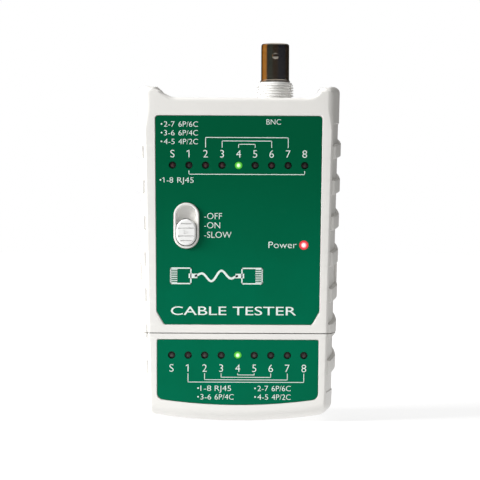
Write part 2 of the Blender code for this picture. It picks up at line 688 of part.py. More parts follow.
def ear_arms(grow, y_high):
    """The strips across the rear face that tie the ears to the door's panel."""
    low, high = ear_heights(grow)
    low += rib_rise(REAR_Y)
    high += rib_rise(REAR_Y - 3.3 * MM)
    inner = BAY_HALF_WIDTH - 1 * MM
    outer = face_half(low) - 1.2 * MM + grow
    y_low = REAR_Y - DOOR_THICKNESS - grow
    return [sloped_panel(*sorted((side * inner, side * outer)), low, high, y_low, y_high) for side in (-1, 1)]


def tongue_blocks(grow):
    width, depth, height = TONGUE_SIZE
    blocks = []
    for side in (-1, 1):
        x = side * TONGUE_X
        blocks.append(block((x - width / 2 - grow, TONGUE_Y - depth / 2 - grow, REMOTE_TOP_Z - 1.5 * MM),
                            (x + width / 2 + grow, TONGUE_Y + depth / 2 + grow, REMOTE_TOP_Z + height + grow)))
    return blocks


def build_master_rear(plastic):
    shell = piece("master_rear_shell", half_body(MASTER_FLOOR_Z, CASE_HEIGHT, False), plastic)
    combine(shell, "UNION", "ribs", ribs(MASTER_FLOOR_Z, CASE_HEIGHT, False))
    combine(shell, "INTERSECT", "front_shape", [plate(front_silhouette(), -1 * MM, REAR_Y + 5 * MM)])
    combine(shell, "INTERSECT", "side_shape", [side_silhouette()])
    combine(shell, "DIFFERENCE", "hollow", [half_cavity(MASTER_FLOOR_Z + WALL, TOP_FACE_Z - WALL, False)])
    places = master_screw_places()
    combine(shell, "UNION", "bosses", [boss(x, z, False) for x, z in places])
    outer = BAY_HALF_WIDTH + BAY_WALL
    bay = block((-outer, BAY_INNER_Y - BAY_WALL, BAY_FLOOR_Z - BAY_WALL),
                (outer, REAR_Y - WALL / 2, BAY_TOP_Z + BAY_WALL))
    combine(shell, "UNION", "bay", [bay])
    combine(shell, "DIFFERENCE", "bay_hollow",
            [block((-BAY_HALF_WIDTH, BAY_INNER_Y, BAY_FLOOR_Z), (BAY_HALF_WIDTH, REAR_Y + 1 * MM, BAY_TOP_Z))])
    combine(shell, "DIFFERENCE", "ear_notches", ear_notches())
    combine(shell, "DIFFERENCE", "arm_notches", ear_arms(SEAM, REAR_Y + 1 * MM))
    openings = [screw_hole(x, z) for x, z in places]
    openings.append(jack_cut(JACK_X, JACK_TOP_Z))
    openings.append(bnc_cut())
    openings += tongue_blocks(SEAM)
    lead_x = BAY_HALF_WIDTH - LEAD_INSET
    openings.append(block((lead_x - 2.4 * MM, BAY_INNER_Y + 1.0 * MM, BAY_TOP_Z - 1 * MM),
                          (lead_x + 2.4 * MM, BAY_INNER_Y + 4.4 * MM, BAY_TOP_Z + BAY_WALL + 1 * MM)))
    combine(shell, "DIFFERENCE", "openings", openings)
    return shell


def build_master_label(film):
    film_plate = plate(master_label_outline(), LABEL_FRONT_Y, LABEL_FRONT_Y + LABEL_THICKNESS)
    label = piece("master_label", film_plate, film)
    holes = led_bores(LED_ROW_Z, LED_RADIUS + 0.1 * MM, FACE_Y - 1 * MM, FACE_Y + 1 * MM)
    holes.append(rod(POWER_LED_RADIUS + 0.1 * MM, (POWER_LED_X, 0, POWER_LED_Z), "Y", FACE_Y - 1 * MM,
                     FACE_Y + 1 * MM, 16))
    holes.append(plate(stadium(RING_WIDTH + SEAM, RING_HEIGHT + SEAM, (SWITCH_X, SWITCH_Z)), FACE_Y - 1 * MM,
                       FACE_Y + 1 * MM))
    combine(label, "DIFFERENCE", "holes", holes)
    return label


# ---------------------------------------------------------------- boards and lamps
def lamp(radius, flange, x, z):
    """Round-nosed lamp standing on the board, its nose just behind the label."""
    base = BOARD_FRONT_Y - SEAM
    nose = LED_TIP_Y
    shoulder = base - LED_BASE
    profile = [(0, base), (flange, base), (flange, shoulder), (radius, shoulder), (radius, nose + 0.6 * radius),
               (0.72 * radius, nose + 0.2 * radius), (0, nose)]
    return turned(profile, (x, 0, z), "Y", 12)


def lamp_row(prefix, z, finish, lit, parent=None):
    names = ["s"] + [str(i) for i in range(1, LED_COUNT)]
    for name, x in zip(names, led_places()):
        lens = lit if name == "4" else finish
        piece(prefix + "_led_" + name, lamp(LED_RADIUS, LED_FLANGE, x, z), lens, parent, True)


def board(name, z_low, z_high, finish, parent=None):
    corner = 1.5 * MM
    outline = stadium(2 * BOARD_HALF_WIDTH, z_high - z_low, (0, (z_low + z_high) / 2), 2, corner)
    return piece(name, plate(outline, BOARD_FRONT_Y, BOARD_REAR_Y), finish, parent)


def chip(name, x, finish):
    """Plastic package with gull-wing leads, on the rear of the master's board."""
    width, height, thickness = CHIP_SIZE
    seat = BOARD_REAR_Y + SEAM
    under = seat + 0.2 * MM
    package = block((x - width / 2, under, CHIP_Z - height / 2),
                    (x + width / 2, under + thickness, CHIP_Z + height / 2))
    pins = []
    for side in (-1, 1):
        near = CHIP_Z + side * (height / 2 - 0.2 * MM)
        low, high = sorted((near, near + side * 1.2 * MM))
        for k in range(CHIP_PINS):
            pin_x = x + (k - (CHIP_PINS - 1) / 2) * CHIP_PITCH
            pins.append(block((pin_x - 0.2 * MM, seat, low), (pin_x + 0.2 * MM, seat + 0.5 * MM, high)))
    combine(piece(name, package, finish), "UNION", "pins", pins)


# ---------------------------------------------------------------- slide switch
def build_switch(metal, knob_plastic, axis):
    width, height, thickness = SWITCH_BODY
    y_rear = BOARD_FRONT_Y - SEAM
    y_front = y_rear - thickness
    body = piece("slide_switch_body", block((SWITCH_X - width / 2, y_front, SWITCH_Z - height / 2),
                                            (SWITCH_X + width / 2, y_rear, SWITCH_Z + height / 2)), metal)
    lever_half = SWITCH_LEVER[0] / 2
    low = STEM_REST_Z - SWITCH_LEVER[1] / 2
    high = low + SWITCH_LEVER[1]
    track = block((SWITCH_X - lever_half - SEAM, y_front - 1 * MM, low - SEAM),
                  (SWITCH_X + lever_half + SEAM, y_front + 1.2 * MM, high + SWITCH_TRAVEL + SEAM))
    combine(body, "DIFFERENCE", "track", [track])
    slider = block((SWITCH_X - lever_half, INNER_FACE_Y + SEAM, low),
                   (SWITCH_X + lever_half, y_front + 1.2 * MM - SEAM, high))
    piece("slide_switch_slider", slider, knob_plastic, axis)
    cap = plate(stadium(KNOB_WIDTH, KNOB_HEIGHT, (SWITCH_X, KNOB_REST_Z)), FACE_Y - KNOB_RISE, KNOB_BASE_Y)
    knob = piece("switch_knob", cap, knob_plastic, axis)
    stem = block((SWITCH_X - KNOB_STEM[0] / 2, KNOB_BASE_Y - 0.5 * MM, STEM_REST_Z - KNOB_STEM[1] / 2),
                 (SWITCH_X + KNOB_STEM[0] / 2, INNER_FACE_Y, STEM_REST_Z + KNOB_STEM[1] / 2))
    combine(knob, "UNION", "stem", [stem], axis)
    grooves = []
    for share in KNOB_GROOVES:
        place = KNOB_REST_Z + share * KNOB_HEIGHT
        grooves.append(block((SWITCH_X - KNOB_WIDTH, FACE_Y - KNOB_RISE - 1 * MM, place - GROOVE_WIDTH / 2),
                             (SWITCH_X + KNOB_WIDTH, FACE_Y - KNOB_RISE + 0.4 * MM, place + GROOVE_WIDTH / 2)))
    combine(knob, "DIFFERENCE", "grooves", grooves, axis)


# ---------------------------------------------------------------- sockets
def thread_profile(root, base):
    """Half section of the threaded collar: (radius, height)."""
    profile = [(0, base), (root, base), (root, TOP_FACE_Z + 0.3 * MM)]
    turns = int((BNC_COLLAR_RISE - 1.2 * MM) / BNC_THREAD_PITCH)
    z = BNC_COLLAR_TOP_Z - 0.5 * MM - turns * BNC_THREAD_PITCH
    for _ in range(turns):
        profile += [(root, z + 0.12 * BNC_THREAD_PITCH), (BNC_COLLAR_RADIUS, z + 0.45 * BNC_THREAD_PITCH),
                    (BNC_COLLAR_RADIUS, z + 0.62 * BNC_THREAD_PITCH), (root, z + 0.95 * BNC_THREAD_PITCH)]
        z += BNC_THREAD_PITCH
    return profile + [(root, BNC_COLLAR_TOP_Z), (0, BNC_COLLAR_TOP_Z)]


def build_bnc(white, metal, ptfe, gold):
    """Coaxial socket: a white housing with a threaded collar, and in it the plated barrel and its contact."""
    half = BNC_COLLAR_RADIUS + BNC_HOUSING_MARGIN
    base_top = TOP_FACE_Z - WALL - SEAM
    base = block((BNC_X - half, BOARD_REAR_Y + SEAM, base_top - BNC_HOUSING_HEIGHT),
                 (BNC_X + half, half, base_top))
    housing = piece("bnc_housing", base, white)
    collar = turned(thread_profile(BNC_COLLAR_RADIUS - 0.5 * MM, base_top - 2 * MM), (BNC_X, 0, 0), "Z", 28)
    combine(housing, "UNION", "collar", [collar])
    foot = BNC_BARREL_Z
    top = BNC_TOP_Z
    hole = BNC_INSULATOR_RADIUS + SEAM
    bore_floor = foot + 2.6 * MM
    outside = [(hole, foot), (BNC_FOOT_RADIUS, foot), (BNC_FOOT_RADIUS, foot + BNC_FOOT_HEIGHT),
               (BNC_BARREL_RADIUS, foot + BNC_FOOT_HEIGHT + 0.3 * MM), (BNC_BARREL_RADIUS, top - 0.4 * MM),
               (BNC_BARREL_RADIUS - 0.35 * MM, top)]
    inside = [(BNC_BORE_RADIUS + 0.15 * MM, top), (BNC_BORE_RADIUS, top - 0.3 * MM),
              (BNC_BORE_RADIUS, bore_floor), (hole, bore_floor)]
    barrel = piece("bnc_barrel", ring_turned(outside + inside, (BNC_X, 0, 0), "Z", 36), metal, smooth=True)
    lugs = []
    for side in (-1, 1):
        low, high = sorted((side * (BNC_BORE_RADIUS + 0.4 * MM), side * (BNC_BARREL_RADIUS + BNC_LUG_RISE)))
        lugs.append(rod(BNC_LUG_RADIUS, (BNC_X, 0, top - BNC_LUG_DROP), "Y", low, high, 14))
    combine(barrel, "UNION", "lugs", lugs)
    contact_hole = BNC_CONTACT_RADIUS + 0.15 * MM
    mouth = top - BNC_MOUTH_DEPTH
    tube = [(contact_hole, foot + 0.1 * MM), (BNC_INSULATOR_RADIUS, foot + 0.1 * MM),
            (BNC_INSULATOR_RADIUS, mouth), (contact_hole, mouth)]
    piece("bnc_insulator", ring_turned(tube, (BNC_X, 0, 0), "Z", 20), ptfe, smooth=True)
    pin_low = foot + 0.2 * MM
    pin_high = mouth - 0.4 * MM
    pin = [(0, pin_low), (BNC_CONTACT_RADIUS, pin_low), (BNC_CONTACT_RADIUS, pin_high), (0.55 * MM, pin_high),
           (0.5 * MM, pin_high - 2.6 * MM), (0, pin_high - 2.6 * MM)]
    piece("bnc_centre_contact", turned(pin, (BNC_X, 0, 0), "Z", 14), gold, smooth=True)


def contact_finger(x, y, top):
    """One sprung contact: up the front wall, then folded back down into the mouth."""
    front = y + 0.1 * MM
    back = front + FINGER_THICKNESS
    floor = top - JACK_CAVITY + SEAM + 0.5 * MM
    side = [(front, floor), (back, floor), (back, top - 4.1 * MM), (front + 2.0 * MM, top - 8.8 * MM),
            (front + 2.3 * MM, top - 8.6 * MM), (back + 0.1 * MM, top - 2.8 * MM), (front, top - 2.8 * MM)]
    return loft([[(u, v, z) for v, z in side] for u in (x - 0.18 * MM, x + 0.18 * MM)])


def build_jack(prefix, x, top, black, gold, parent=None):
    """Modular socket with its mouth upwards, its contacts towards the board, its latch to the rear."""
    half = JACK_WIDTH / 2
    mouth_half = JACK_MOUTH[0] / 2
    latch_half = JACK_LATCH[0] / 2
    y0 = JACK_FRONT_Y + JACK_FRONT_WALL
    y1 = y0 + JACK_MOUTH[1]
    housing = piece(prefix + "_jack_housing", block((x - half, JACK_FRONT_Y, top - JACK_LENGTH),
                                                    (x + half, JACK_REAR_Y, top)), black, parent)
    cavity = block((x - mouth_half, y0, top - JACK_CAVITY), (x + mouth_half, y1, top + 1 * MM))
    combine(housing, "DIFFERENCE", "cavity", [cavity], parent)
    latch = block((x - latch_half, y1 - 0.5 * MM, top - 0.7 * JACK_CAVITY),
                  (x + latch_half, y1 + JACK_LATCH[1], top + 1 * MM))
    combine(housing, "DIFFERENCE", "latch", [latch], parent)
    span = (CONTACT_COUNT - 1) * CONTACT_PITCH / 2 + 0.5 * MM
    bar_y = y0 + SEAM
    bar_z = top - JACK_CAVITY + SEAM
    bar = block((x - span, bar_y, bar_z), (x + span, bar_y + 0.5 * MM, bar_z + 1.2 * MM))
    comb = piece(prefix + "_jack_contacts", bar, gold, parent)
    places = [x + (k - (CONTACT_COUNT - 1) / 2) * CONTACT_PITCH for k in range(CONTACT_COUNT)]
    combine(comb, "UNION", "fingers", [contact_finger(place, bar_y, top) for place in places], parent)


# ---------------------------------------------------------------- battery
def across(radius, centre_y, centre_z, x_low, x_high):
    """A round rod that lies across the case."""
    loops = []
    for x in (x_low, x_high):
        angles = [2 * math.pi * k / 14 for k in range(14)]
        loops.append([(x, centre_y + radius * math.cos(a), centre_z + radius * math.sin(a)) for a in angles])
    return loft(loops)


def battery_section(centre_y, centre_z):
    """The rounded end outline of the battery, in Y and Z."""
    section = []
    reach_y = BATTERY_BODY[1] / 2 - BATTERY_CORNER
    reach_z = BATTERY_BODY[2] / 2 - BATTERY_CORNER
    for quarter, (sy, sz) in enumerate(((1, 1), (-1, 1), (-1, -1), (1, -1))):
        for k in range(4):
            angle = math.pi / 2 * (quarter + k / 3)
            section.append((centre_y + sy * reach_y + BATTERY_CORNER * math.cos(angle),
                            centre_z + sz * reach_z + BATTERY_CORNER * math.sin(angle)))
    return section


def lead_route(start, run_x, order):
    """Path of a battery lead: off the snap, up out of the bay, and forward to the board."""
    x, y, z = start
    channel_y = BAY_INNER_Y + 2.7 * MM
    turn_z = BAY_TOP_Z + (5.5 + order) * MM
    board_x = run_x - 4.5 * MM
    return [start, (run_x - 0.2 * MM, y, z + 0.8 * MM), (run_x, y - 1.5 * MM, z + (5 + order) * MM),
            (run_x, channel_y, BAY_TOP_Z - 1.5 * MM), (run_x, channel_y, BAY_TOP_Z + 2.5 * MM),
            (board_x + 1 * MM, channel_y + 0.5 * MM, turn_z),
            (board_x, BOARD_REAR_Y + 1.5 * MM, turn_z + 0.5 * MM),
            (board_x, BOARD_REAR_Y + SEAM + 0.1 * MM, turn_z + 0.5 * MM)]


def build_battery(can, black, red_wire, black_wire):
    length, depth, height = BATTERY_BODY
    middle_z = (BAY_FLOOR_Z + BAY_TOP_Z) / 2
    middle_y = (BATTERY_FRONT_Y + BATTERY_REAR_Y) / 2
    right = BAY_HALF_WIDTH - SNAP_ROOM
    section = battery_section(middle_y, middle_z)
    body = piece("battery_9v", loft([[(x, y, z) for y, z in section] for x in (right - length, right)]), can)
    snap_x = right + SEAM
    studs = []
    pockets = []
    for side, radius in ((-1, SOCKET_STUD_RADIUS), (1, PLUG_STUD_RADIUS)):
        stud_z = middle_z + side * TERMINAL_SPACING / 2
        studs.append(across(radius, middle_y, stud_z, right - 0.5 * MM, right + BATTERY_TERMINAL))
        pockets.append(across(SNAP_POCKET_RADIUS, middle_y, stud_z, right - 1 * MM, snap_x + BATTERY_TERMINAL))
    combine(body, "UNION", "terminals", studs)
    snap_end = snap_x + SNAP_SIZE[0]
    cap = block((snap_x, middle_y - SNAP_SIZE[1] / 2, middle_z - SNAP_SIZE[2] / 2),
                (snap_end, middle_y + SNAP_SIZE[1] / 2, middle_z + SNAP_SIZE[2] / 2))
    snap = piece("battery_snap", cap, black)
    combine(snap, "DIFFERENCE", "pockets", pockets)
    for name, order, finish in (("battery_lead_red", 1, red_wire), ("battery_lead_black", -1, black_wire)):
        start = (snap_end + SEAM, middle_y, middle_z + (3 - 2 * order) * MM)
        run_x = BAY_HALF_WIDTH - LEAD_INSET + order * LEAD_SPACING / 2
        wire(name, smooth_route(lead_route(start, run_x, order), 4), LEAD_RADIUS, finish)


def smooth_route(knots, steps):
    """Points of a smooth curve through all the knots."""
    padded = [knots[0]] + list(knots) + [knots[-1]]
    route = []
    for a, b, c, d in zip(padded, padded[1:], padded[2:], padded[3:]):
        for k in range(steps):
            t = k / steps
            route.append(tuple(0.5 * (2 * q + (r - p) * t + (2 * p - 5 * q + 4 * r - s) * t ** 2
                                      + (3 * q - p - 3 * r + s) * t ** 3) for p, q, r, s in zip(a, b, c, d)))
    route.append(tuple(knots[-1]))
    return route


def wire(name, route, radius, finish):
    curve = bpy.data.curves.new(name, "CURVE")
    curve.dimensions = "3D"
    curve.bevel_depth = radius
    curve.bevel_resolution = 2
    curve.use_fill_caps = True
    spline = curve.splines.new("POLY")
    spline.points.add(len(route) - 1)
    for point, place in zip(spline.points, route):
        point.co = (*place, 1.0)
    curve.materials.append(finish)
    bpy.context.scene.collection.objects.link(bpy.data.objects.new(name, curve))


def build_door(plastic, axis):
    panel = sloped_panel(-BAY_HALF_WIDTH + SEAM, BAY_HALF_WIDTH - SEAM, BAY_FLOOR_Z + SEAM, BAY_TOP_Z - SEAM,
                         REAR_Y - DOOR_THICKNESS, REAR_Y)
    door = piece("battery_door", panel, plastic, axis)
    combine(door, "UNION", "arms", ear_arms(0.0, REAR_Y), axis)
    combine(door, "UNION", "ears", ears(), axis)


# ---------------------------------------------------------------- remote housing
def remote_half(name, front, plastic, axis):
    """One half of the remote housing, before its own openings."""
    y0, y1 = (FACE_Y - 5 * MM, 1 * MM) if front else (-1 * MM, REAR_Y + 5 * MM)
    shell = piece(name, half_body(-0.5 * MM, REMOTE_TOP_Z, front), plastic, axis)
    combine(shell, "UNION", "ribs", ribs(0.0, REMOTE_TOP_Z, front), axis)
    combine(shell, "INTERSECT", "front_shape", [plate(front_silhouette(), y0, y1)], axis)
    combine(shell, "INTERSECT", "side_shape", [side_silhouette()], axis)
    combine(shell, "DIFFERENCE", "hollow", [half_cavity(REMOTE_FLOOR_Z, REMOTE_TOP_Z - WALL, front)], axis)
    combine(shell, "UNION", "bosses", [boss(x, z, front) for x, z in remote_screw_places()], axis)
    return shell


def remote_screw_places():
    return [(side * REMOTE_SCREW_X, REMOTE_SCREW_Z) for side in (-1, 1)]


def build_remote(plastic, film, axis):
    front = remote_half("remote_front_shell", True, plastic, axis)
    seat = plate(remote_label_outline(0.15 * MM), FACE_Y - 1 * MM, FACE_Y + LABEL_SEAT)
    combine(front, "DIFFERENCE", "label_seat", [seat], axis)
    openings = [pilot_hole(x, z) for x, z in remote_screw_places()]
    openings += led_bores(REMOTE_LED_Z, LED_HOLE, FACE_Y - 1 * MM, INNER_FACE_Y + 1 * MM)
    openings.append(jack_cut(0.0, REMOTE_TOP_Z))
    combine(front, "DIFFERENCE", "openings", openings, axis)
    rear = remote_half("remote_rear_shell", False, plastic, axis)
    combine(rear, "UNION", "tongues", tongue_blocks(0.0), axis)
    openings = [screw_hole(x, z) for x, z in remote_screw_places()]
    openings.append(jack_cut(0.0, REMOTE_TOP_Z))
    combine(rear, "DIFFERENCE", "openings", openings, axis)
    film_plate = plate(remote_label_outline(), LABEL_FRONT_Y, LABEL_FRONT_Y + LABEL_THICKNESS)
    label = piece("remote_label", film_plate, film, axis)
    combine(label, "DIFFERENCE", "holes",
            led_bores(REMOTE_LED_Z, LED_RADIUS + 0.1 * MM, FACE_Y - 1 * MM, FACE_Y + 1 * MM), axis)


def add_screws(prefix, places, steel, parent=None):
    for number, (x, z) in enumerate(places, 1):
        screw = piece(f"{prefix}_case_screw_{number}", case_screw(x, z), steel, parent, True)
        combine(screw, "DIFFERENCE", "recess", [cross_recess(x, z)], parent)


def build_tester():
    clear_scene()
    shell_plastic = material("shell_plastic", (0.80, 0.78, 0.74), 0.45)
    label_film = material("label_film", (0.0, 0.13, 0.06), 0.4)
    knob_plastic = material("knob_plastic", (0.82, 0.81, 0.78), 0.4)
    socket_white = material("socket_white", (0.85, 0.84, 0.82), 0.4)
    nickel = material("nickel_plate", (0.62, 0.58, 0.53), 0.18, 1.0)
    ptfe = material("socket_insulator", (0.88, 0.87, 0.84), 0.5)
    gold = material("gold_plate", (0.83, 0.62, 0.25), 0.25, 1.0)
    jack_black = material("jack_plastic", (0.02, 0.02, 0.022), 0.45)
    board_green = material("circuit_board", (0.02, 0.14, 0.05), 0.4)
    lens_red = material("lamp_unlit", (0.10, 0.03, 0.03), 0.2)
    lens_green = material("lamp_green", (0.30, 0.85, 0.25), 0.2)
    lens_power = material("lamp_power", (0.85, 0.10, 0.10), 0.2)
    chip_black = material("chip_plastic", (0.015, 0.015, 0.016), 0.5)
    tin = material("switch_frame", (0.55, 0.55, 0.54), 0.35, 1.0)
    battery_can = material("battery_wrap", (0.05, 0.05, 0.055), 0.4)
    snap_vinyl = material("snap_vinyl", (0.02, 0.02, 0.02), 0.6)
    red_wire = material("red_wire", (0.60, 0.03, 0.02), 0.5)
    black_wire = material("black_wire", (0.02, 0.02, 0.02), 0.5)
    steel = material("screw_steel", (0.45, 0.45, 0.46), 0.35, 1.0)

    switch_axis = empty("switch_slide_axis", SWITCH_AXIS)
    door_axis = empty("battery_door_axis", DOOR_AXIS)
    remote_axis = empty("remote_undock_axis", REMOTE_AXIS)

    build_master_front(shell_plastic)
    build_master_rear(shell_plastic)
    build_master_label(label_film)
    add_screws("master", master_screw_places(), steel)

    board("master_circuit_board", POWER_LED_Z - 4.5 * MM, TOP_FACE_Z - WALL - 1.5 * MM, board_green)
    lamp_row("master", LED_ROW_Z, lens_red, lens_green)
    power_lamp = lamp(POWER_LED_RADIUS, POWER_LED_RADIUS + SEAM, POWER_LED_X, POWER_LED_Z)
    piece("power_led", power_lamp, lens_power, smooth=True)
    build_switch(tin, knob_plastic, switch_axis)
    for name, x in zip(("sequencer_chip", "lamp_driver_chip"), CHIP_PLACES):
        chip(name, x, chip_black)

    build_bnc(socket_white, nickel, ptfe, gold)
    build_jack("master", JACK_X, JACK_TOP_Z, jack_black, gold)
    build_battery(battery_can, snap_vinyl, red_wire, black_wire)
    build_door(shell_plastic, door_axis)

    build_remote(shell_plastic, label_film, remote_axis)
    add_screws("remote", remote_screw_places(), steel, remote_axis)
    board("remote_circuit_board", REMOTE_FLOOR_Z + 3.5 * MM, REMOTE_TOP_Z - WALL - 0.6 * MM, board_green,
          remote_axis)
    lamp_row("remote", REMOTE_LED_Z, lens_red, lens_green, remote_axis)
    build_jack("remote", 0.0, REMOTE_TOP_Z, jack_black, gold, remote_axis)


build_tester()
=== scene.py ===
"""Looks of the hand-held network cable tester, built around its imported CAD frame.

Everything is in metres. The tester stands on its curved lower end, +Z runs up to
the coaxial socket, and -Y is the face with the lamps.
"""
import math

import bmesh
import bpy
from mathutils import Matrix, Vector


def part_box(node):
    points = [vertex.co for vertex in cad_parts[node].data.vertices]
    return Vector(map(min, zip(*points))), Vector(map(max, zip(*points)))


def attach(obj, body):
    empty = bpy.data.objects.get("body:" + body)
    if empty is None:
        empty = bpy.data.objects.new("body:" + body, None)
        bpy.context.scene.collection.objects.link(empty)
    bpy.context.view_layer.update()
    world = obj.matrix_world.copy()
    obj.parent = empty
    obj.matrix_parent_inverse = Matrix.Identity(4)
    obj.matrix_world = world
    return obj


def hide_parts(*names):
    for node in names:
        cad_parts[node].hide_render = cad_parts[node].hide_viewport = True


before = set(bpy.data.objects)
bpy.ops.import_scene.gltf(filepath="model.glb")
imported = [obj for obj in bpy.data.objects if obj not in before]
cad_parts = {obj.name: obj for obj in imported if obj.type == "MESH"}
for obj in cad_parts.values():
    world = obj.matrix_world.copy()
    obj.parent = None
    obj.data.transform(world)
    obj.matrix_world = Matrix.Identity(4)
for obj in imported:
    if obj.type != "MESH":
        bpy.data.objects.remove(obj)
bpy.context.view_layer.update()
MM = 0.001

# ---------------------------------------------------------------- studio
# A product table: pale seamless floor, one strong soft light from the upper left, weak
# ones from the front and above, and a white surround that the camera looks into.
case_low, case_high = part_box("master_front_shell")
sight_height = 61.25 * MM
camera_distance = 540 * MM
view_width = 161.5 * MM            # what the picture spans at the depth of the face

camera_data = bpy.data.cameras.new("camera")
camera_data.sensor_width = 36.0
camera_data.lens = camera_data.sensor_width * camera_distance / view_width
camera_data.clip_start = 0.01
camera_data.clip_end = 20
camera = bpy.data.objects.new("camera", camera_data)
camera.location = (0.6 * MM, case_low.y - camera_distance, sight_height)
camera.rotation_euler = (math.radians(90), math.radians(-0.25), 0)
bpy.context.scene.collection.objects.link(camera)
bpy.context.scene.camera = camera


def soft_light(name, place, target, size, power, color=(1, 1, 1)):
    """A rectangular softbox that points at a target."""
    data = bpy.data.lights.new(name, "AREA")
    data.shape = "RECTANGLE"
    data.size, data.size_y = size
    data.energy = power
    data.color = color
    lamp = bpy.data.objects.new(name, data)
    lamp.visible_glossy = False
    lamp.location = place
    lamp.rotation_euler = (Vector(target) - Vector(place)).to_track_quat("-Z", "Y").to_euler()
    bpy.context.scene.collection.objects.link(lamp)
    return lamp


middle = (0, 0, sight_height)
soft_light("key_upper_left", (-0.86, -0.25, 0.42), middle, (0.30, 0.30), 17.5)
soft_light("front_soft", (-0.20, -1.10, 0.30), middle, (0.4, 0.4), 0.7)
soft_light("top_soft", (-0.10, 0.10, 0.80), middle, (0.4, 0.4), 1.6)


class Signal:
    """A socket in a node tree. Arithmetic on it adds Math nodes."""

    def __init__(self, tree, socket=None):
        self.tree = tree
        self.socket = socket

    def node(self, kind, settings=None, inputs=None, out=0):
        """Any node: its settings first, then the values or links of its sockets."""
        made = self.tree.nodes.new(kind)
        for name, value in (settings or {}).items():
            if name == "stops":
                ramp = made.color_ramp
                while len(ramp.elements) < len(value):
                    ramp.elements.new(0.5)
                for element, (place, color) in zip(ramp.elements, value):
                    element.position = place
                    element.color = (*color, 1.0)
            else:
                setattr(made, name, value)
        for name, value in (inputs or {}).items():
            if isinstance(value, Signal):
                self.tree.links.new(value.socket, made.inputs[name])
            else:
                made.inputs[name].default_value = value
        return Signal(self.tree, made.outputs[out])

    def output(self, name):
        """Another output of the node that this socket is on."""
        return Signal(self.tree, self.socket.node.outputs[name])

    def math(self, operation, *others):
        return self.node("ShaderNodeMath", {"operation": operation}, dict(enumerate((self, *others))))

    def __add__(self, other):
        return self.math("ADD", other)

    __radd__ = __add__

    def __mul__(self, other):
        return self.math("MULTIPLY", other)

    __rmul__ = __mul__

    def __sub__(self, other):
        return self.math("SUBTRACT", other)

    def __rsub__(self, other):
        return (self * -1.0) + other

    def __gt__(self, other):
        return self.math("GREATER_THAN", other)

    def mix(self, low, high):
        """low where this signal is 0, high where it is 1: colours."""
        low, high = (c if isinstance(c, Signal) else (*c, 1.0) for c in (low, high))
        return self.node("ShaderNodeMix", {"data_type": "RGBA"}, {0: self, 6: low, 7: high}, out=2)

    def between(self, start, end):
        """0 below start, 1 above end, smooth between them."""
        settings = {"interpolation_type": "SMOOTHSTEP"}
        return self.node("ShaderNodeMapRange", settings, {0: self, 1: start, 2: end, 3: 0.0, 4: 1.0})


# The surround: white for the camera, soft grey light for the surfaces, and for
# reflections a dim room with one warm wooden panel to the left of the camera.
world = bpy.data.worlds.new("studio")
bpy.context.scene.world = world
world.use_nodes = True
tree = world.node_tree
tree.nodes.clear()
room = Signal(tree)
direction = room.node("ShaderNodeTexCoord", out=0)
left_right = room.node("ShaderNodeSeparateXYZ", {}, {0: direction})
front_back = left_right.output(1)
up_down = left_right.output(2)
turn = front_back.math("ARCTAN2", left_right * -1.0) * (0.5 / math.pi) + 0.5
walls = [(0.0, (0.012, 0.016, 0.030)), (0.17, (0.012, 0.016, 0.030)), (0.20, (0.036, 0.025, 0.018)),
         (0.30, (0.036, 0.025, 0.018)), (0.33, (0.043, 0.058, 0.052)), (0.455, (0.030, 0.036, 0.030)),
         (0.468, (0.60, 0.26, 0.040)), (0.53, (0.66, 0.30, 0.060)), (0.61, (0.50, 0.19, 0.020)),
         (0.625, (0.02, 0.014, 0.010))]
dim = room.node("ShaderNodeValToRGB", {"stops": walls}, {0: turn})
dim = up_down.between(0.45, 0.80).mix(dim, (0.95, 0.95, 0.95))
dim = (up_down * -1.0).between(0.30, 0.60).mix(dim, (0.55, 0.55, 0.55))
rays = room.node("ShaderNodeLightPath")
glossy_ray = rays.output("Is Glossy Ray")
camera_ray = rays.output("Is Camera Ray")
to_left = left_right.between(0.6, -0.7)
surround = to_left.mix((0.31, 0.31, 0.30), (0.15, 0.15, 0.15))
surround = glossy_ray.mix(surround, dim)
surround = camera_ray.mix(surround, (1.0, 1.0, 1.0))
background = room.node("ShaderNodeBackground", {}, {"Color": surround, "Strength": 1.0})
output = tree.nodes.new("ShaderNodeOutputWorld")
tree.links.new(background.socket, output.inputs["Surface"])
bpy.context.scene.view_settings.view_transform = "Standard"

floor_mesh = bpy.data.meshes.new("floor")
floor_builder = bmesh.new()
bmesh.ops.create_grid(floor_builder, x_segments=1, y_segments=1, size=6.0)
floor_builder.to_mesh(floor_mesh)
floor_builder.free()
floor = bpy.data.objects.new("floor", floor_mesh)
bpy.context.scene.collection.objects.link(floor)
floor_paint = bpy.data.materials.new("pale_table")
floor_paint.use_nodes = True
floor_shader = floor_paint.node_tree.nodes["Principled BSDF"]
floor_shader.inputs["Base Color"].default_value = (0.24, 0.24, 0.24, 1)
floor_shader.inputs["Roughness"].default_value = 0.9
floor_shader.inputs["Specular IOR Level"].default_value = 0.1
table = Signal(floor_paint.node_tree)
table_place = table.node("ShaderNodeTexCoord", out=3)
reach = table.node("ShaderNodeVectorMath", {"operation": "LENGTH"}, {0: table_place},
                   out=1).between(0.10, 0.55)
seen = table.node("ShaderNodeLightPath").output("Is Camera Ray")
glow = reach.mix((0.80, 0.80, 0.80), (1.0, 1.0, 1.0))
near = table.node("ShaderNodeVectorMath", {"operation": "LENGTH"}, {0: table_place},
                  out=1).between(0.07, 0.26)
glow = seen.mix(near.mix((0.84, 0.84, 0.84), (0.22, 0.22, 0.22)), glow)
table.tree.links.new(glow.socket, floor_shader.inputs["Emission Color"])
floor_shader.inputs["Emission Strength"].default_value = 1.0
floor_mesh.materials.append(floor_paint)

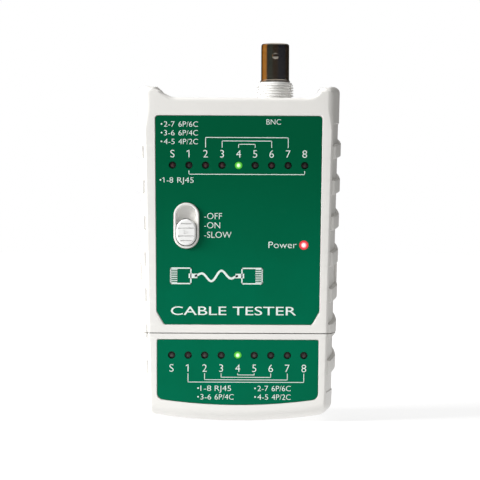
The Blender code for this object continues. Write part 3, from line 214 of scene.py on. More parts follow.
# ---------------------------------------------------------------- moulded case
# The two housings are injection moulded in off-white ABS, each a front and a rear
# half that meet on the middle plane. Spark-eroded tooling leaves a fine grain.
def plastic(name, color, shade, grain=0.09 * MM, depth=0.012 * MM, roughness=0.42):
    """Moulded plastic: a drifting tint, a fine eroded grain, and a softer shine where it is handled."""
    made = bpy.data.materials.new(name)
    made.use_nodes = True
    surface = Signal(made.node_tree)
    shader = made.node_tree.nodes["Principled BSDF"]
    place = surface.node("ShaderNodeTexCoord", out=3)
    drift = surface.node("ShaderNodeTexNoise", {}, {"Vector": place, "Scale": 38.0, "Detail": 3.0})
    fine = surface.node("ShaderNodeTexNoise", {},
                        {"Vector": place, "Scale": 1 / grain * 0.35, "Detail": 2.0})
    specks = surface.node("ShaderNodeTexNoise", {}, {"Vector": place, "Scale": 900.0, "Detail": 4.0})
    tint = drift.between(0.35, 0.65)
    base = tint.mix(color, shade)
    base = (specks.between(0.66, 0.78) * 0.35).mix(base, tuple(c * 0.82 for c in color))
    link = made.node_tree.links.new
    link(base.socket, shader.inputs["Base Color"])
    shine = drift * 0.10 + (fine * 0.06 + (roughness - 0.08))
    link(shine.socket, shader.inputs["Roughness"])
    bump = surface.node("ShaderNodeBump", {}, {"Height": fine, "Strength": 0.35, "Distance": depth})
    link(bump.socket, shader.inputs["Normal"])
    shader.inputs["Specular IOR Level"].default_value = 0.45
    return made


case_plastic = plastic("case_plastic", (0.80, 0.785, 0.755), (0.775, 0.762, 0.735))
half_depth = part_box("master_rear_shell")[1].y
case_height = case_high.z
parting_z = (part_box("remote_front_shell")[1].z + case_low.z) / 2
seam = case_low.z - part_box("remote_front_shell")[1].z
rib_count = 7
rib_low_z, rib_pitch, rib_width, rib_height = 88.8 * MM, 12.15 * MM, 4.85 * MM, 1.2 * MM
rear_slope = 0.30                              # the ribs climb this much along the rear half
channel_step = 0.3 * MM
channel_low, channel_high = 9.5 * MM, 101.5 * MM
rear_inset = 2.2 * MM                          # the rear face is this much narrower on each side
foot_curve = 184 * MM                          # radius of the lower end
horn_rise, horn_crown = 4.8 * MM, 1.7 * MM     # the corner posts, and how far their tops fall to the face


def ease(t):
    """0 to 1 with soft ends."""
    t = min(1.0, max(0.0, t))
    return t * t * (3 - 2 * t)


def along(pairs, at):
    """Straight-line reading of a short table of (place, value)."""
    for (a, low), (b, high) in zip(pairs, pairs[1:]):
        if at <= b:
            return low + (high - low) * max(0.0, (at - a) / (b - a))
    return pairs[-1][1]


def fillet(radius, distance):
    """How far a surface draws in at a distance from a rounded end."""
    short = radius - min(radius, max(0.0, distance))
    return radius - math.sqrt(max(0.0, radius * radius - short * short))


def face_half(z):
    return 29.3 * MM + 2.7 * MM * z / case_height


def side_half(z):
    return 32.05 * MM + 2.60 * MM * z / case_height


def face_edge(z):
    """Rounding of the face's long edges: tight along the grips, softer round the corner posts."""
    return 0.5 * MM + 1.5 * MM * ease((z - 99 * MM) / (9 * MM))


def climb(depth, front):
    """How far a rib has climbed at a depth from the middle plane."""
    if front:
        return 0.10 * (13.6 * MM - depth)
    return 1.36 * MM + rear_slope * depth


def wall_point(depth, z, front):
    """Half width of the channel floor at a depth from the middle plane."""
    face, side = face_half(z), side_half(z)
    if not front:
        bulge = math.sqrt(max(0.0, 1 - (depth / half_depth) ** 2))
        return face - rear_inset + (side - face + rear_inset) * bulge
    edge = face_edge(z)
    bend = half_depth - edge
    if depth <= bend:
        t = 1 - depth / bend
        return face + (side - face) * t * (1.33 - 0.33 * t)
    rise = min(1.0, (depth - bend) / edge)
    return face - edge + edge * math.sqrt(1 - rise * rise)


# A rib in section: (distance from its edge, share of its height).
rib_edge = [(-0.14 * MM, 0.0), (-0.02 * MM, 0.08), (0.06 * MM, 0.55), (0.14 * MM, 0.84), (0.27 * MM, 0.96),
            (0.48 * MM, 1.0)]
channel_edge = [(-0.16 * MM, 0.0), (0.0, 0.5), (0.16 * MM, 1.0)]


def rib_share(z):
    """1 on a rib, 0 between the ribs, rounded at the edges."""
    for k in range(rib_count):
        base = rib_low_z - k * rib_pitch
        inside = min(z - base, base + rib_width - z)
        if inside > rib_edge[0][0]:
            return along(rib_edge, inside)
    return 0.0


def case_levels():
    """Heights at which the wall changes: both ends, the channel's ends and every edge of a rib."""
    levels = [0.0, 0.12, 0.4, 0.8, 1.3, 1.9, 2.6, 3.3, 4.0, 6.0, 8.0]
    levels += [9.34, 9.5, 9.66, 11.5, 13.5, 29.65, 29.95, 94.6, 97.0, 99.0]
    levels += [101.34, 101.5, 101.66, 103.5, 105.5, 107.5, 109.5, 111.0, 111.6, 112.2, 112.7, 113.1, 113.5,
               113.8, 114.0, 114.1]
    levels = [z * MM for z in levels]
    for k in range(rib_count):
        base = rib_low_z - k * rib_pitch
        levels += [base + step for step, _ in rib_edge]
        levels += [base + rib_width - step for step, _ in rib_edge]
        levels += [base + rib_width * 0.35, base + rib_width * 0.65, base + rib_width + 2.4 * MM,
                   base + rib_width + 4.9 * MM]
    kept = []
    for z in sorted(levels):
        if not kept or z - kept[-1] > 0.03 * MM:
            kept.append(z)
    return kept


left_horn = [(-27.9, 1.0), (-27.4, 0.95), (-26.9, 0.82), (-26.3, 0.64), (-25.5, 0.47), (-24.6, 0.32),
             (-23.6, 0.17), (-22.6, 0.06), (-21.6, 0.0)]
right_horn = [(22.4, 0.0), (23.6, 0.06), (24.8, 0.16), (25.8, 0.29), (26.6, 0.44), (27.2, 0.62),
              (27.6, 0.80), (27.95, 0.93), (28.5, 1.0)]


def horn_share(x):
    """1 on top of the corner posts, 0 on the top face between them."""
    if x < 0:
        return along(left_horn, max(x / MM, -27.9))
    return along(right_horn, min(x / MM, 28.5))


def case_half(front):
    """One whole half of the case, solid, both housings in one piece, with its ribs and corner posts."""
    if front:
        depths = [0.15, 1.0, 2.2, 3.6, 5.0, 6.5, 8.0, 9.5, 11.0, 11.9, 12.2, 12.7, 13.2, 13.34, 13.46,
                  13.54, 13.62, 13.68, 13.76, 13.84, 13.9, 14.0, 14.12, 14.25, 14.36, 14.45]
        ends = ((13.6 * MM, rib_edge), (13.84 * MM, channel_edge))
    else:
        depths = [0.15, 1.0, 2.2, 3.6, 5.0, 6.5, 8.0, 9.4, 10.5, 10.83, 10.96, 11.04, 11.12, 11.24, 11.4,
                  11.6, 12.0, 12.6, 13.2, 13.7, 14.1, 14.35]
        ends = ((11.1 * MM, rib_edge), (11.45 * MM, channel_edge))
    depths = [d * MM for d in depths]
    shares = [-1.0] + [x / 30.2 for x, h in left_horn] + [-18.5 / 30.2, -6 / 30.2, 6 / 30.2, 18.5 / 30.2]
    shares += [x / 30.2 for x, h in right_horn] + [1.0]
    bm = bmesh.new()
    rings = []
    for z in case_levels():
        up, down = case_height - z, z
        squeeze_y = fillet(1.2 * MM, up) + fillet(4.0 * MM, down)
        squeeze_x = fillet(2.0 * MM, up) + fillet(2.6 * MM, down)
        shear = ease((z - 9.9 * MM) / (5.4 * MM)) * ease((100.8 * MM - z) / (6.4 * MM))
        in_channel = along(channel_edge, min(z - channel_low, channel_high - z))
        wall = []
        for depth in depths:
            here = wall_point(depth, z, front)
            ahead = wall_point(depth + 0.02 * MM, z, front)
            slope = (ahead - wall_point(depth - 0.02 * MM, z, front)) / (0.04 * MM)
            length = math.hypot(1, slope)
            channel = in_channel * along(channel_edge, ends[1][0] - depth)
            rib = rib_share(z) * along(rib_edge, ends[0][0] - depth)
            proud = channel_step * (1 - channel) + rib_height * rib
            if front:
                proud -= 0.75 * MM * in_channel * max(0.0, 1 - abs(depth - 13.76 * MM) / (0.08 * MM))
            if depth > ends[1][0]:
                proud *= 1 - ease((depth - ends[1][0]) / (half_depth - ends[1][0]))
            wall.append((here + proud / length, depth - proud * slope / length,
                         z + climb(depth, front) * shear))
        flat_half = face_half(z) - (face_edge(z) if front else rear_inset)
        ring = [(-x, d, h) for x, d, h in wall]
        ring += [(s * flat_half, half_depth, z) for s in shares]
        ring += [(x, d, h) for x, d, h in reversed(wall)]
        ring += [(s * flat_half, depths[0], z) for s in reversed(shares)]
        scale_x, scale_y = 1 - squeeze_x / (34.5 * MM), 1 - squeeze_y / half_depth
        top_warp, low_warp = ease((z - 84 * MM) / (24 * MM)), 1 - ease((z - 3 * MM) / (9 * MM))
        points = []
        for x, d, h in ring:
            x, d = x * scale_x, max(depths[0], d * scale_y)
            crown = horn_crown * (d / half_depth) ** 2 * horn_share(x)
            h += ((horn_share(x) - 1) * horn_rise - crown) * top_warp + x * x / (2 * foot_curve) * low_warp
            points.append(bm.verts.new((x, -d if front else d, h)))
        rings.append(points)
    count, walls, face = len(rings[0]), len(depths), len(shares)
    for low, high in zip(rings, rings[1:]):
        for i in range(count):
            j = (i + 1) % count
            bm.faces.new((low[i], low[j], high[j], high[i]))
    for ring in (rings[0], rings[-1]):
        back = [ring[count - 1 - i] for i in range(face)]
        for i in range(face - 1):
            bm.faces.new((ring[walls + i], ring[walls + i + 1], back[i + 1], back[i]))
        bm.faces.new(ring[:walls + 1] + [back[0]])
        bm.faces.new([back[-1]] + ring[walls + face - 1:2 * walls + face])
    bmesh.ops.recalc_face_normals(bm, faces=bm.faces)
    return bm


def cut_level(bm, height, keep_above):
    """Cuts a solid level and closes it again."""
    everything = bm.verts[:] + bm.edges[:] + bm.faces[:]
    bmesh.ops.bisect_plane(bm, geom=everything, dist=1e-7, plane_co=(0, 0, height), plane_no=(0, 0, 1),
                           clear_inner=keep_above, clear_outer=not keep_above)
    bmesh.ops.holes_fill(bm, edges=[e for e in bm.edges if e.is_boundary])
    bmesh.ops.recalc_face_normals(bm, faces=bm.faces)
    return bm


def loft(loops):
    """A closed solid through loops of equal length."""
    bm = bmesh.new()
    rings = [[bm.verts.new(p) for p in loop] for loop in loops]
    for low, high in zip(rings, rings[1:]):
        for i in range(len(low)):
            j = (i + 1) % len(low)
            bm.faces.new((low[i], low[j], high[j], high[i]))
    bm.faces.new(rings[0][::-1])
    bm.faces.new(rings[-1])
    bmesh.ops.recalc_face_normals(bm, faces=bm.faces)
    return bm


def block(low, high):
    (x0, y0, z0), (x1, y1, z1) = low, high
    return loft([[(x, y, z) for x, y in ((x0, y0), (x1, y0), (x1, y1), (x0, y1))] for z in (z0, z1)])


def slab(outline, stations):
    """An outline in X and Z through the depth: each station is (y, how far the outline shrinks there)."""
    loops = []
    for y, inset in stations:
        loops.append([(x, y, z) for x, z in (outline(inset) if callable(outline) else outline)])
    return loft(loops)


def pill(x, z, width, height, steps=12):
    """A fully round-ended outline, as a function of its inset."""
    def outline(inset):
        radius = width / 2 - inset
        straight = (height - width) / 2
        points = []
        for k in range(2 * steps + 1):
            a = math.pi * k / (2 * steps)
            points.append((x + radius * math.cos(a), z + straight + radius * math.sin(a)))
        for k in range(2 * steps + 1):
            a = math.pi + math.pi * k / (2 * steps)
            points.append((x + radius * math.cos(a), z - straight + radius * math.sin(a)))
        return points
    return outline


def turned(profile, centre, axis, segments=48):
    """A body of revolution. The profile is (radius, place along the axis)."""
    bm = bmesh.new()
    rings = []
    for radius, place in profile:
        ring = []
        for i in range(segments if radius > 0 else 1):
            a = 2 * math.pi * i / segments
            u, v = radius * math.cos(a), radius * math.sin(a)
            offset = {"X": (place, u, v), "Y": (u, place, v), "Z": (u, v, place)}[axis]
            ring.append(bm.verts.new(Vector(centre) + Vector(offset)))
        rings.append(ring)
    closed = profile[0][0] > 0 and profile[-1][0] > 0 and profile[0] != profile[-1]
    pairs = list(zip(rings, rings[1:])) + ([(rings[-1], rings[0])] if closed else [])
    for low, high in pairs:
        for i in range(segments):
            j = (i + 1) % segments
            corners = [low[i % len(low)], low[j % len(low)], high[j % len(high)], high[i % len(high)]]
            bm.faces.new(list(dict.fromkeys(corners)))
    bmesh.ops.recalc_face_normals(bm, faces=bm.faces)
    return bm


def rod(radius, centre, axis, low, high, segments=32):
    return turned([(0, low), (radius, low), (radius, high), (0, high)], centre, axis, segments)


def shade(item, angle=38):
    """Smooth shading that keeps real edges."""
    item.data.shade_smooth()
    item.data.set_sharp_from_angle(angle=math.radians(angle))
    even = item.modifiers.new("even_faces", "WEIGHTED_NORMAL")
    even.keep_sharp = True
    even.weight = 80
    return item


def add(name, bm, finish, body, angle=38):
    """A finished piece of the tester: it rides on a CAD body and has a material slot."""
    mesh = bpy.data.meshes.new(name)
    bm.to_mesh(mesh)
    bm.free()
    mesh.materials.append(finish)
    item = bpy.data.objects.new(name, mesh)
    bpy.context.scene.collection.objects.link(item)
    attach(item, body)
    return shade(item, angle)


def carve(item, steps, angle=38):
    """Shapes a piece with loose solids: each step is (operation, solid)."""
    tools = []
    item.modifiers.clear()
    for operation, solid in steps:
        mesh = bpy.data.meshes.new("tool")
        solid.to_mesh(mesh)
        solid.free()
        tool = bpy.data.objects.new("tool", mesh)
        bpy.context.scene.collection.objects.link(tool)
        tools.append(tool)
        step = item.modifiers.new("step", "BOOLEAN")
        step.operation = operation
        step.solver = "EXACT"
        step.object = tool
    shaped = bpy.data.meshes.new_from_object(item.evaluated_get(bpy.context.evaluated_depsgraph_get()))
    item.modifiers.clear()
    item.data = shaped
    for tool in tools:
        bpy.data.objects.remove(tool)
    return shade(item, angle)


# The front half of the master: the label recess, holes for the lamps, the oval
# ring round the switch, and openings for both sockets.
face_y = -half_depth
inner_y = face_y + 2 * MM
top_z = 109.3 * MM
led_x = [5.57 * MM * (i - 4) for i in range(9)]
led_z, remote_led_z = 86.4 * MM, 22.4 * MM
switch_x, switch_z = -17.5 * MM, 66.0 * MM
power_x, power_z = 22.1 * MM, 59.6 * MM
socket_x, jack_x, jack_top = 12.5 * MM, -12 * MM, 109.6 * MM
screw_drill = 1.4 * MM


def rounded(points, radius, steps=6):
    """A closed outline with every corner rounded: radius is one number, or one for each corner."""
    radii = radius if isinstance(radius, list) else [radius] * len(points)
    result = []
    for i, corner in enumerate(points):
        here = Vector(corner)
        before = (Vector(points[i - 1]) - here).normalized()
        after = (Vector(points[(i + 1) % len(points)]) - here).normalized()
        half = before.angle(after) / 2
        reach = radii[i] / math.tan(half)
        centre = here + (before + after).normalized() * radii[i] / math.sin(half)
        if radii[i] == 0:
            result.append(tuple(here))
            continue
        start = (here + before * reach - centre).normalized()
        end = (here + after * reach - centre).normalized()
        result += [tuple(centre + start.slerp(end, k / steps) * radii[i]) for k in range(steps + 1)]
    return result


def master_label_outline(inset):
    high, low = 103.05 * MM - inset, 32.8 * MM + inset
    wide, narrow = 28.15 * MM - inset, 27.35 * MM - inset
    corners = [(narrow - 2.6 * MM, low), (narrow, low + 4.4 * MM), (wide, high), (-wide, high),
               (-narrow, low + 4.4 * MM), (-narrow + 2.6 * MM, low)]
    return rounded(corners, [0.9 * MM, 0.9 * MM, 1.1 * MM, 1.1 * MM, 0.9 * MM, 0.9 * MM])


def remote_label_outline(inset):
    high, half = 27.6 * MM - inset, 27.05 * MM - inset
    low = 5.75 * MM + inset
    points = [(half + 0.1 * MM, high), (-half - 0.1 * MM, high)]
    points += [(x * half / 10, low + (x * half / 10) ** 2 / (2 * foot_curve)) for x in range(-10, 11)]
    return rounded(points, [0.5 * MM, 0.5 * MM, 2.2 * MM] + [0.0] * 19 + [2.2 * MM])


def socket_cut(x, top):
    return block((x - 8.3 * MM, -7.1 * MM, top - 5 * MM), (x + 8.3 * MM, 6.7 * MM, top + 2 * MM))


def collar_hole():
    return rod(6.65 * MM, (socket_x, 0, 0), "Z", top_z - 4 * MM, top_z + 4 * MM, 64)


def hollow(low, high, front):
    """The room inside one half of a housing."""
    sign = -1 if front else 1
    loops = []
    for z in (low, high):
        right = [(face_half(z) - 3 * MM, 12.5 * MM), (side_half(z) - 3.6 * MM, 6.5 * MM),
                 (side_half(z) - 2.3 * MM, -1 * MM)]
        loops.append([(x, sign * d, z) for x, d in right + [(-x, d) for x, d in reversed(right)]])
    return loft(loops)


def boss(x, z, front):
    low, high = ((inner_y - 1 * MM, -0.15 * MM) if front else (0.15 * MM, half_depth - 1 * MM))
    return rod(2.6 * MM, (x, 0, z), "Y", low, high, 40)


def hole(x, z, radius, low, high, flare=0.2 * MM):
    """A round hole through the face, its rim slightly rounded."""
    rim = face_y + 0.3 * MM
    return turned([(0, low), (radius + flare, low), (radius + flare, rim), (radius, rim + flare),
                   (radius, high), (0, high)], (x, 0, z), "Y", 36)


def master_screws():
    return [(side * 27.2 * MM, z) for side in (-1, 1) for z in (103.5 * MM, 78.1 * MM)]


master_front = add("master_front_case", cut_level(case_half(True), parting_z + seam / 2, True),
                   case_plastic, "master")
ring_face = slab(pill(switch_x, switch_z, 8.5 * MM, 15.4 * MM),
                 [(inner_y - 0.5 * MM, 0), (face_y - 0.38 * MM, 0), (face_y - 0.52 * MM, 0.06 * MM),
                  (face_y - 0.6 * MM, 0.2 * MM), (face_y - 0.6 * MM, 0.3 * MM)])
well = slab(pill(switch_x, switch_z, 7.1 * MM, 14.0 * MM),
            [(inner_y - 0.9 * MM, 0.35 * MM), (inner_y - 1.2 * MM, 0), (face_y - 0.4 * MM, 0),
             (face_y - 0.55 * MM, -0.1 * MM), (face_y - 2 * MM, -0.5 * MM)])
label_seat = slab(master_label_outline, [(face_y - 1 * MM, -0.6 * MM), (face_y, -0.25 * MM),
                                         (face_y + 0.06 * MM, -0.15 * MM), (face_y + 0.6 * MM, -0.15 * MM)])
steps = [("DIFFERENCE", hollow(parting_z + seam / 2 + 2 * MM, top_z - 2 * MM, True))]
steps += [("UNION", boss(x, z, True)) for x, z in master_screws()]
steps += [("DIFFERENCE", label_seat), ("UNION", ring_face), ("DIFFERENCE", well)]
steps += [("DIFFERENCE", rod(screw_drill, (x, 0, z), "Y", -8.3 * MM, 1 * MM)) for x, z in master_screws()]
steps += [("DIFFERENCE", hole(x, led_z, 1.45 * MM, face_y - 1 * MM, inner_y + 1 * MM, 0.05 * MM))
          for x in led_x]
steps.append(("DIFFERENCE", hole(power_x, power_z, 1.75 * MM, face_y - 1 * MM, inner_y + 1 * MM,
                                 0.05 * MM)))
steps.append(("DIFFERENCE", block((switch_x - 1.2 * MM, inner_y - 3 * MM, 61.25 * MM),
                                  (switch_x + 1.2 * MM, inner_y + 1 * MM, 68.35 * MM))))
steps += [("DIFFERENCE", socket_cut(jack_x, jack_top)),
          ("DIFFERENCE", collar_hole())]
carve(master_front, steps, 24)
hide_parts("master_front_shell")

# ---------------------------------------------------------------- rear of the master
# The rear half carries the battery bay, four screw counterbores and the slots that
# the remote end's two tongues enter. Its ribs climb steeply, as a grip for the hand.
rear_y = half_depth
bay_low, bay_high, bay_half = 37.0 * MM, 66.5 * MM, 27.6 * MM
bay_inner = -5.7 * MM


def ear_band(room, proud, inward, stations):
    """The strip between the fourth and fifth ribs on both sides, as two solids."""
    low = rib_low_z - 4 * rib_pitch + rib_width + 0.6 * MM - room
    high = rib_low_z - 3 * rib_pitch - 0.6 * MM + room
    bands = []
    for side in (-1, 1):
        loops = []
        for depth in stations:
            corners = [(-inward, low), (proud, low), (proud, high), (-inward, high)]
            lift = climb(depth, False)
            loops.append([(side * (wall_point(min(depth, half_depth), z + lift, False) + over), depth,
                           z + lift) for over, z in corners])
        bands.append(loft(loops))
    return bands


def sloped_panel(x_low, x_high, z_low, z_high, y_low, y_high):
    """A panel whose top edge runs along the slope on which the door slides off."""
    loops = []
    for y in (y_low, y_high):
        top = z_high + rear_slope * (y - rear_y)
        loops.append([(x_low, y, z_low), (x_high, y, z_low), (x_high, y, top), (x_low, y, top)])
    return loft(loops)


def ear_arms(room, y_high):
    low = rib_low_z - 4 * rib_pitch + rib_width + 0.6 * MM - room + climb(rear_y, False)
    high = rib_low_z - 3 * rib_pitch - 0.6 * MM + room + climb(rear_y - 3.3 * MM, False)
    outer = face_half(low) - 1.2 * MM + room
    arms = []
    for side in (-1, 1):
        x0, x1 = sorted((side * 26.6 * MM, side * outer))
        arms.append(sloped_panel(x0, x1, low, high, rear_y - 1.9 * MM - room, y_high))
    return arms


def screw_bore(x, z):
    seat = rear_y - 3.4 * MM
    return turned([(0, -1 * MM), (screw_drill, -1 * MM), (screw_drill, seat), (2.4 * MM, seat),
                   (2.4 * MM, rear_y - 0.25 * MM), (2.65 * MM, rear_y), (2.9 * MM, rear_y + 1 * MM),
                   (0, rear_y + 1 * MM)], (x, 0, z), "Y", 40)


def tongues(room):
    blocks = []
    for side in (-1, 1):
        loops = []
        for z, inset in ((28.15, 0), (33.9, 0), (34.45, 0.55)):
            half_x = 4 * MM + room - inset * MM
            half_y = 1 * MM + room - inset * 0.6 * MM
            loops.append([(side * 22 * MM + u * half_x, 4 * MM + v * half_y, z * MM + room)
                          for u, v in ((-1, -1), (1, -1), (1, 1), (-1, 1))])
        blocks.append(loft(loops))
    return blocks


master_rear = add("master_rear_case", cut_level(case_half(False), parting_z + seam / 2, True), case_plastic,
                  "master")
bay_wall = block((-bay_half - 1 * MM, bay_inner - 1 * MM, bay_low - 1 * MM),
                 (bay_half + 1 * MM, rear_y - 1 * MM, bay_high + 1 * MM))
bay = block((-bay_half, bay_inner, bay_low), (bay_half, rear_y + 1 * MM, bay_high))
steps = [("DIFFERENCE", hollow(parting_z + seam / 2 + 2 * MM, top_z - 2 * MM, False))]
steps += [("UNION", boss(x, z, False)) for x, z in master_screws()]
steps += [("UNION", bay_wall), ("DIFFERENCE", bay)]
steps += [("DIFFERENCE", band) for band in ear_band(seam, 3 * MM, 1.9 * MM + seam,
                                                    [-1 * MM, 3 * MM, 6.5 * MM, 9 * MM, 11.2 * MM, 13 * MM,
                                                     15.5 * MM])]
steps += [("DIFFERENCE", arm) for arm in ear_arms(seam, rear_y + 1 * MM)]
steps += [("DIFFERENCE", screw_bore(x, z)) for x, z in master_screws()]
steps += [("DIFFERENCE", slot) for slot in tongues(seam)]
steps += [("DIFFERENCE", socket_cut(jack_x, jack_top)), ("DIFFERENCE", collar_hole()),
          ("DIFFERENCE", block((23.0 * MM, bay_inner + 1 * MM, bay_high - 1 * MM),
                               (27.8 * MM, bay_inner + 4.4 * MM, bay_high + 2 * MM)))]
carve(master_rear, steps, 24)
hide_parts("master_rear_shell")

# The battery door is moulded in the same plastic. Its panel closes the bay and two
# arms reach round to grip ears that lie between the fourth and fifth ribs. Seven
# shallow grooves under the thumb help to push it off.
door = add("battery_door_panel", sloped_panel(-bay_half + seam, bay_half - seam, bay_low + seam,
                                              bay_high - seam, rear_y - 1.9 * MM, rear_y), case_plastic,
           "door")
steps = [("UNION", arm) for arm in ear_arms(0.0, rear_y)]
steps += [("UNION", band) for band in ear_band(0.0, 0.95 * MM, 1.9 * MM,
                                               [0.45 * MM, 3 * MM, 6.5 * MM, 9 * MM, 11.2 * MM, 12.6 * MM,
                                                13.7 * MM])]
for k in range(7):
    groove_z = 43.5 * MM + k * 1.7 * MM
    half_groove = (9.0 - 0.55 * abs(k - 3)) * MM
    groove = slab(pill(0, 0, 0.8 * MM, 2 * half_groove),
                  [(rear_y - 0.35 * MM, 0.25 * MM), (rear_y, 0), (rear_y + 1 * MM, -0.2 * MM)])
    bmesh.ops.rotate(groove, verts=groove.verts, matrix=Matrix.Rotation(math.pi / 2, 3, "Y"))
    bmesh.ops.translate(groove, verts=groove.verts, vec=(0, 0, groove_z))
    steps.append(("DIFFERENCE", groove))
carve(door, steps)
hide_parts("battery_door")

# ---------------------------------------------------------------- remote end
# The remote end is a short housing of the same moulding that docks under the master
# with two tongues. Its curved end is what the tester stands on.
remote_places = [(side * 26.8 * MM, 14.0 * MM) for side in (-1, 1)]
remote_floor = 4.35 * MM
remote_roof = parting_z - seam / 2 - 2 * MM
remote_front = add("remote_front_case", cut_level(case_half(True), parting_z - seam / 2, False),
                   case_plastic, "remote")
remote_seat = slab(remote_label_outline, [(face_y - 1 * MM, -0.6 * MM), (face_y, -0.25 * MM),
                                          (face_y + 0.06 * MM, -0.15 * MM),
                                          (face_y + 0.6 * MM, -0.15 * MM)])
steps = [("DIFFERENCE", hollow(remote_floor, remote_roof, True))]
steps += [("UNION", boss(x, z, True)) for x, z in remote_places]
steps.append(("DIFFERENCE", remote_seat))
steps += [("DIFFERENCE", rod(screw_drill, (x, 0, z), "Y", -8.3 * MM, 1 * MM)) for x, z in remote_places]
steps += [("DIFFERENCE", hole(x, remote_led_z, 1.45 * MM, face_y - 1 * MM, inner_y + 1 * MM, 0.05 * MM))
          for x in led_x]
steps.append(("DIFFERENCE", socket_cut(0, parting_z - seam / 2)))
carve(remote_front, steps, 24)
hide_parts("remote_front_shell")

remote_rear = add("remote_rear_case", cut_level(case_half(False), parting_z - seam / 2, False),
                  case_plastic, "remote")
steps = [("DIFFERENCE", hollow(remote_floor, remote_roof, False))]
steps += [("UNION", boss(x, z, False)) for x, z in remote_places]
steps += [("UNION", tongue) for tongue in tongues(0.0)]
steps += [("DIFFERENCE", screw_bore(x, z)) for x, z in remote_places]
steps.append(("DIFFERENCE", socket_cut(0, parting_z - seam / 2)))
carve(remote_rear, steps, 24)
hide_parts("remote_rear_shell")

# ---------------------------------------------------------------- face labels
# Each face has a polyester label, printed green on the back of a clear film, with
# the legends left white. It lies in a recess, punched round the lamps and the switch.
label_green = bpy.data.materials.new("label_green")
label_green.use_nodes = True
film = Signal(label_green.node_tree)
film_shader = label_green.node_tree.nodes["Principled BSDF"]
film_place = film.node("ShaderNodeTexCoord", out=3)
film_height = film.node("ShaderNodeSeparateXYZ", {}, {0: film_place}).output(2)
# Painted shade: the label's green turns darker towards the top, standing in for the weaker light that falls
# there.
film_painted_top_shade = film_height.between(0.030, 0.100)
film_cloud = film.node("ShaderNodeTexNoise", {},
                       {"Vector": film_place, "Scale": 55.0, "Detail": 3.0}).between(0.3, 0.7)
film_grain = film.node("ShaderNodeTexNoise", {}, {"Vector": film_place, "Scale": 5200.0, "Detail": 1.0})
film_wear = film.node("ShaderNodeTexNoise", {},
                      {"Vector": film_place, "Scale": 260.0, "Detail": 5.0}).between(0.62, 0.80)
film_color = film_painted_top_shade.mix((0.0, 0.135, 0.066), (0.0, 0.088, 0.036))
film_color = (film_cloud * 0.25).mix(film_color, (0.001, 0.088, 0.038))
film_color = (film_wear * 0.20).mix(film_color, (0.006, 0.125, 0.060))
film.tree.links.new(film_color.socket, film_shader.inputs["Base Color"])
film.tree.links.new((film_grain * 0.10 + film_cloud * 0.06 + 0.34).socket, film_shader.inputs["Roughness"])
film_bump = film.node("ShaderNodeBump", {}, {"Height": film_grain, "Strength": 0.18, "Distance": 0.00002})
film.tree.links.new(film_bump.socket, film_shader.inputs["Normal"])
film_shader.inputs["Specular IOR Level"].default_value = 0.03

label_y = face_y + 0.05 * MM
label_back = label_y + 0.25 * MM


def film_label(name, outline, body, stands_for, holes):
    sheet = add(name, slab(outline, [(label_back, 0), (label_y + 0.05 * MM, 0), (label_y, 0.05 * MM)]),
                label_green, body)
    carve(sheet, [("DIFFERENCE", solid) for solid in holes])
    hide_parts(stands_for)
    return sheet


lamp_holes = [rod(1.25 * MM, (x, 0, led_z), "Y", face_y - 1 * MM, face_y + 1 * MM, 40) for x in led_x]
lamp_holes.append(rod(1.55 * MM, (power_x, 0, power_z), "Y", face_y - 1 * MM, face_y + 1 * MM, 40))
lamp_holes.append(slab(pill(switch_x, switch_z, 8.8 * MM, 15.7 * MM),
                       [(face_y - 1 * MM, 0), (face_y + 1 * MM, 0)]))
film_label("master_face_label", master_label_outline, "master", "master_label", lamp_holes)
lamp_holes = [rod(1.25 * MM, (x, 0, remote_led_z), "Y", face_y - 1 * MM, face_y + 1 * MM, 40)
              for x in led_x]
film_label("remote_face_label", remote_label_outline, "remote", "remote_label", lamp_holes)

# The legends are screen printed in white ink, a few hundredths of a millimetre thick.
ink = bpy.data.materials.new("white_ink")
ink.use_nodes = True
print_ink = Signal(ink.node_tree)
ink_shader = ink.node_tree.nodes["Principled BSDF"]
ink_place = print_ink.node("ShaderNodeTexCoord", out=3)
ink_thin = print_ink.node("ShaderNodeTexNoise", {},
                          {"Vector": ink_place, "Scale": 1400.0, "Detail": 3.0}).between(0.35, 0.7)
print_ink.tree.links.new((ink_thin * 0.5).mix((0.80, 0.86, 0.83), (0.60, 0.74, 0.69)).socket,
                         ink_shader.inputs["Base Color"])
print_ink.tree.links.new((ink_thin * 0.15 + 0.45).socket, ink_shader.inputs["Roughness"])
ink_shader.inputs["Specular IOR Level"].default_value = 0.3


def gathered(items):
    """Many small solids held as one mesh."""
    bm = bmesh.new()
    for item in items:
        held = bpy.data.meshes.new("held")
        item.to_mesh(held)
        item.free()
        bm.from_mesh(held)
        bpy.data.meshes.remove(held)
    return bm


def words(text, x, z, height, width=None, weight=-0.025 * MM):
    """A line of letters from x, centred on z, with capitals of the given height."""
    curve = bpy.data.curves.new("words", "FONT")
    curve.body = text
    curve.size = height / 0.70
    curve.offset = weight
    curve.extrude = 0.012 * MM
    curve.resolution_u = 5
    letters = bpy.data.objects.new("words", curve)
    bpy.context.scene.collection.objects.link(letters)
    mesh = bpy.data.meshes.new_from_object(letters.evaluated_get(bpy.context.evaluated_depsgraph_get()))
    bpy.data.objects.remove(letters)
    bm = bmesh.new()
    bm.from_mesh(mesh)
    xs = [v.co.x for v in bm.verts]
    stretch = 1.0 if width is None else width / (max(xs) - min(xs))
    for v in bm.verts:
        v.co = (x + (v.co.x - min(xs)) * stretch, label_y - 0.006 * MM - v.co.z, z - height / 2 + v.co.y)
    bmesh.ops.recalc_face_normals(bm, faces=bm.faces)
    return bm


def centred(text, x, z, height, weight=-0.035 * MM):
    made = words(text, 0, z, height, None, weight)
    xs = [v.co.x for v in made.verts]
    bmesh.ops.translate(made, verts=made.verts, vec=(x - (min(xs) + max(xs)) / 2, 0, 0))
    return made


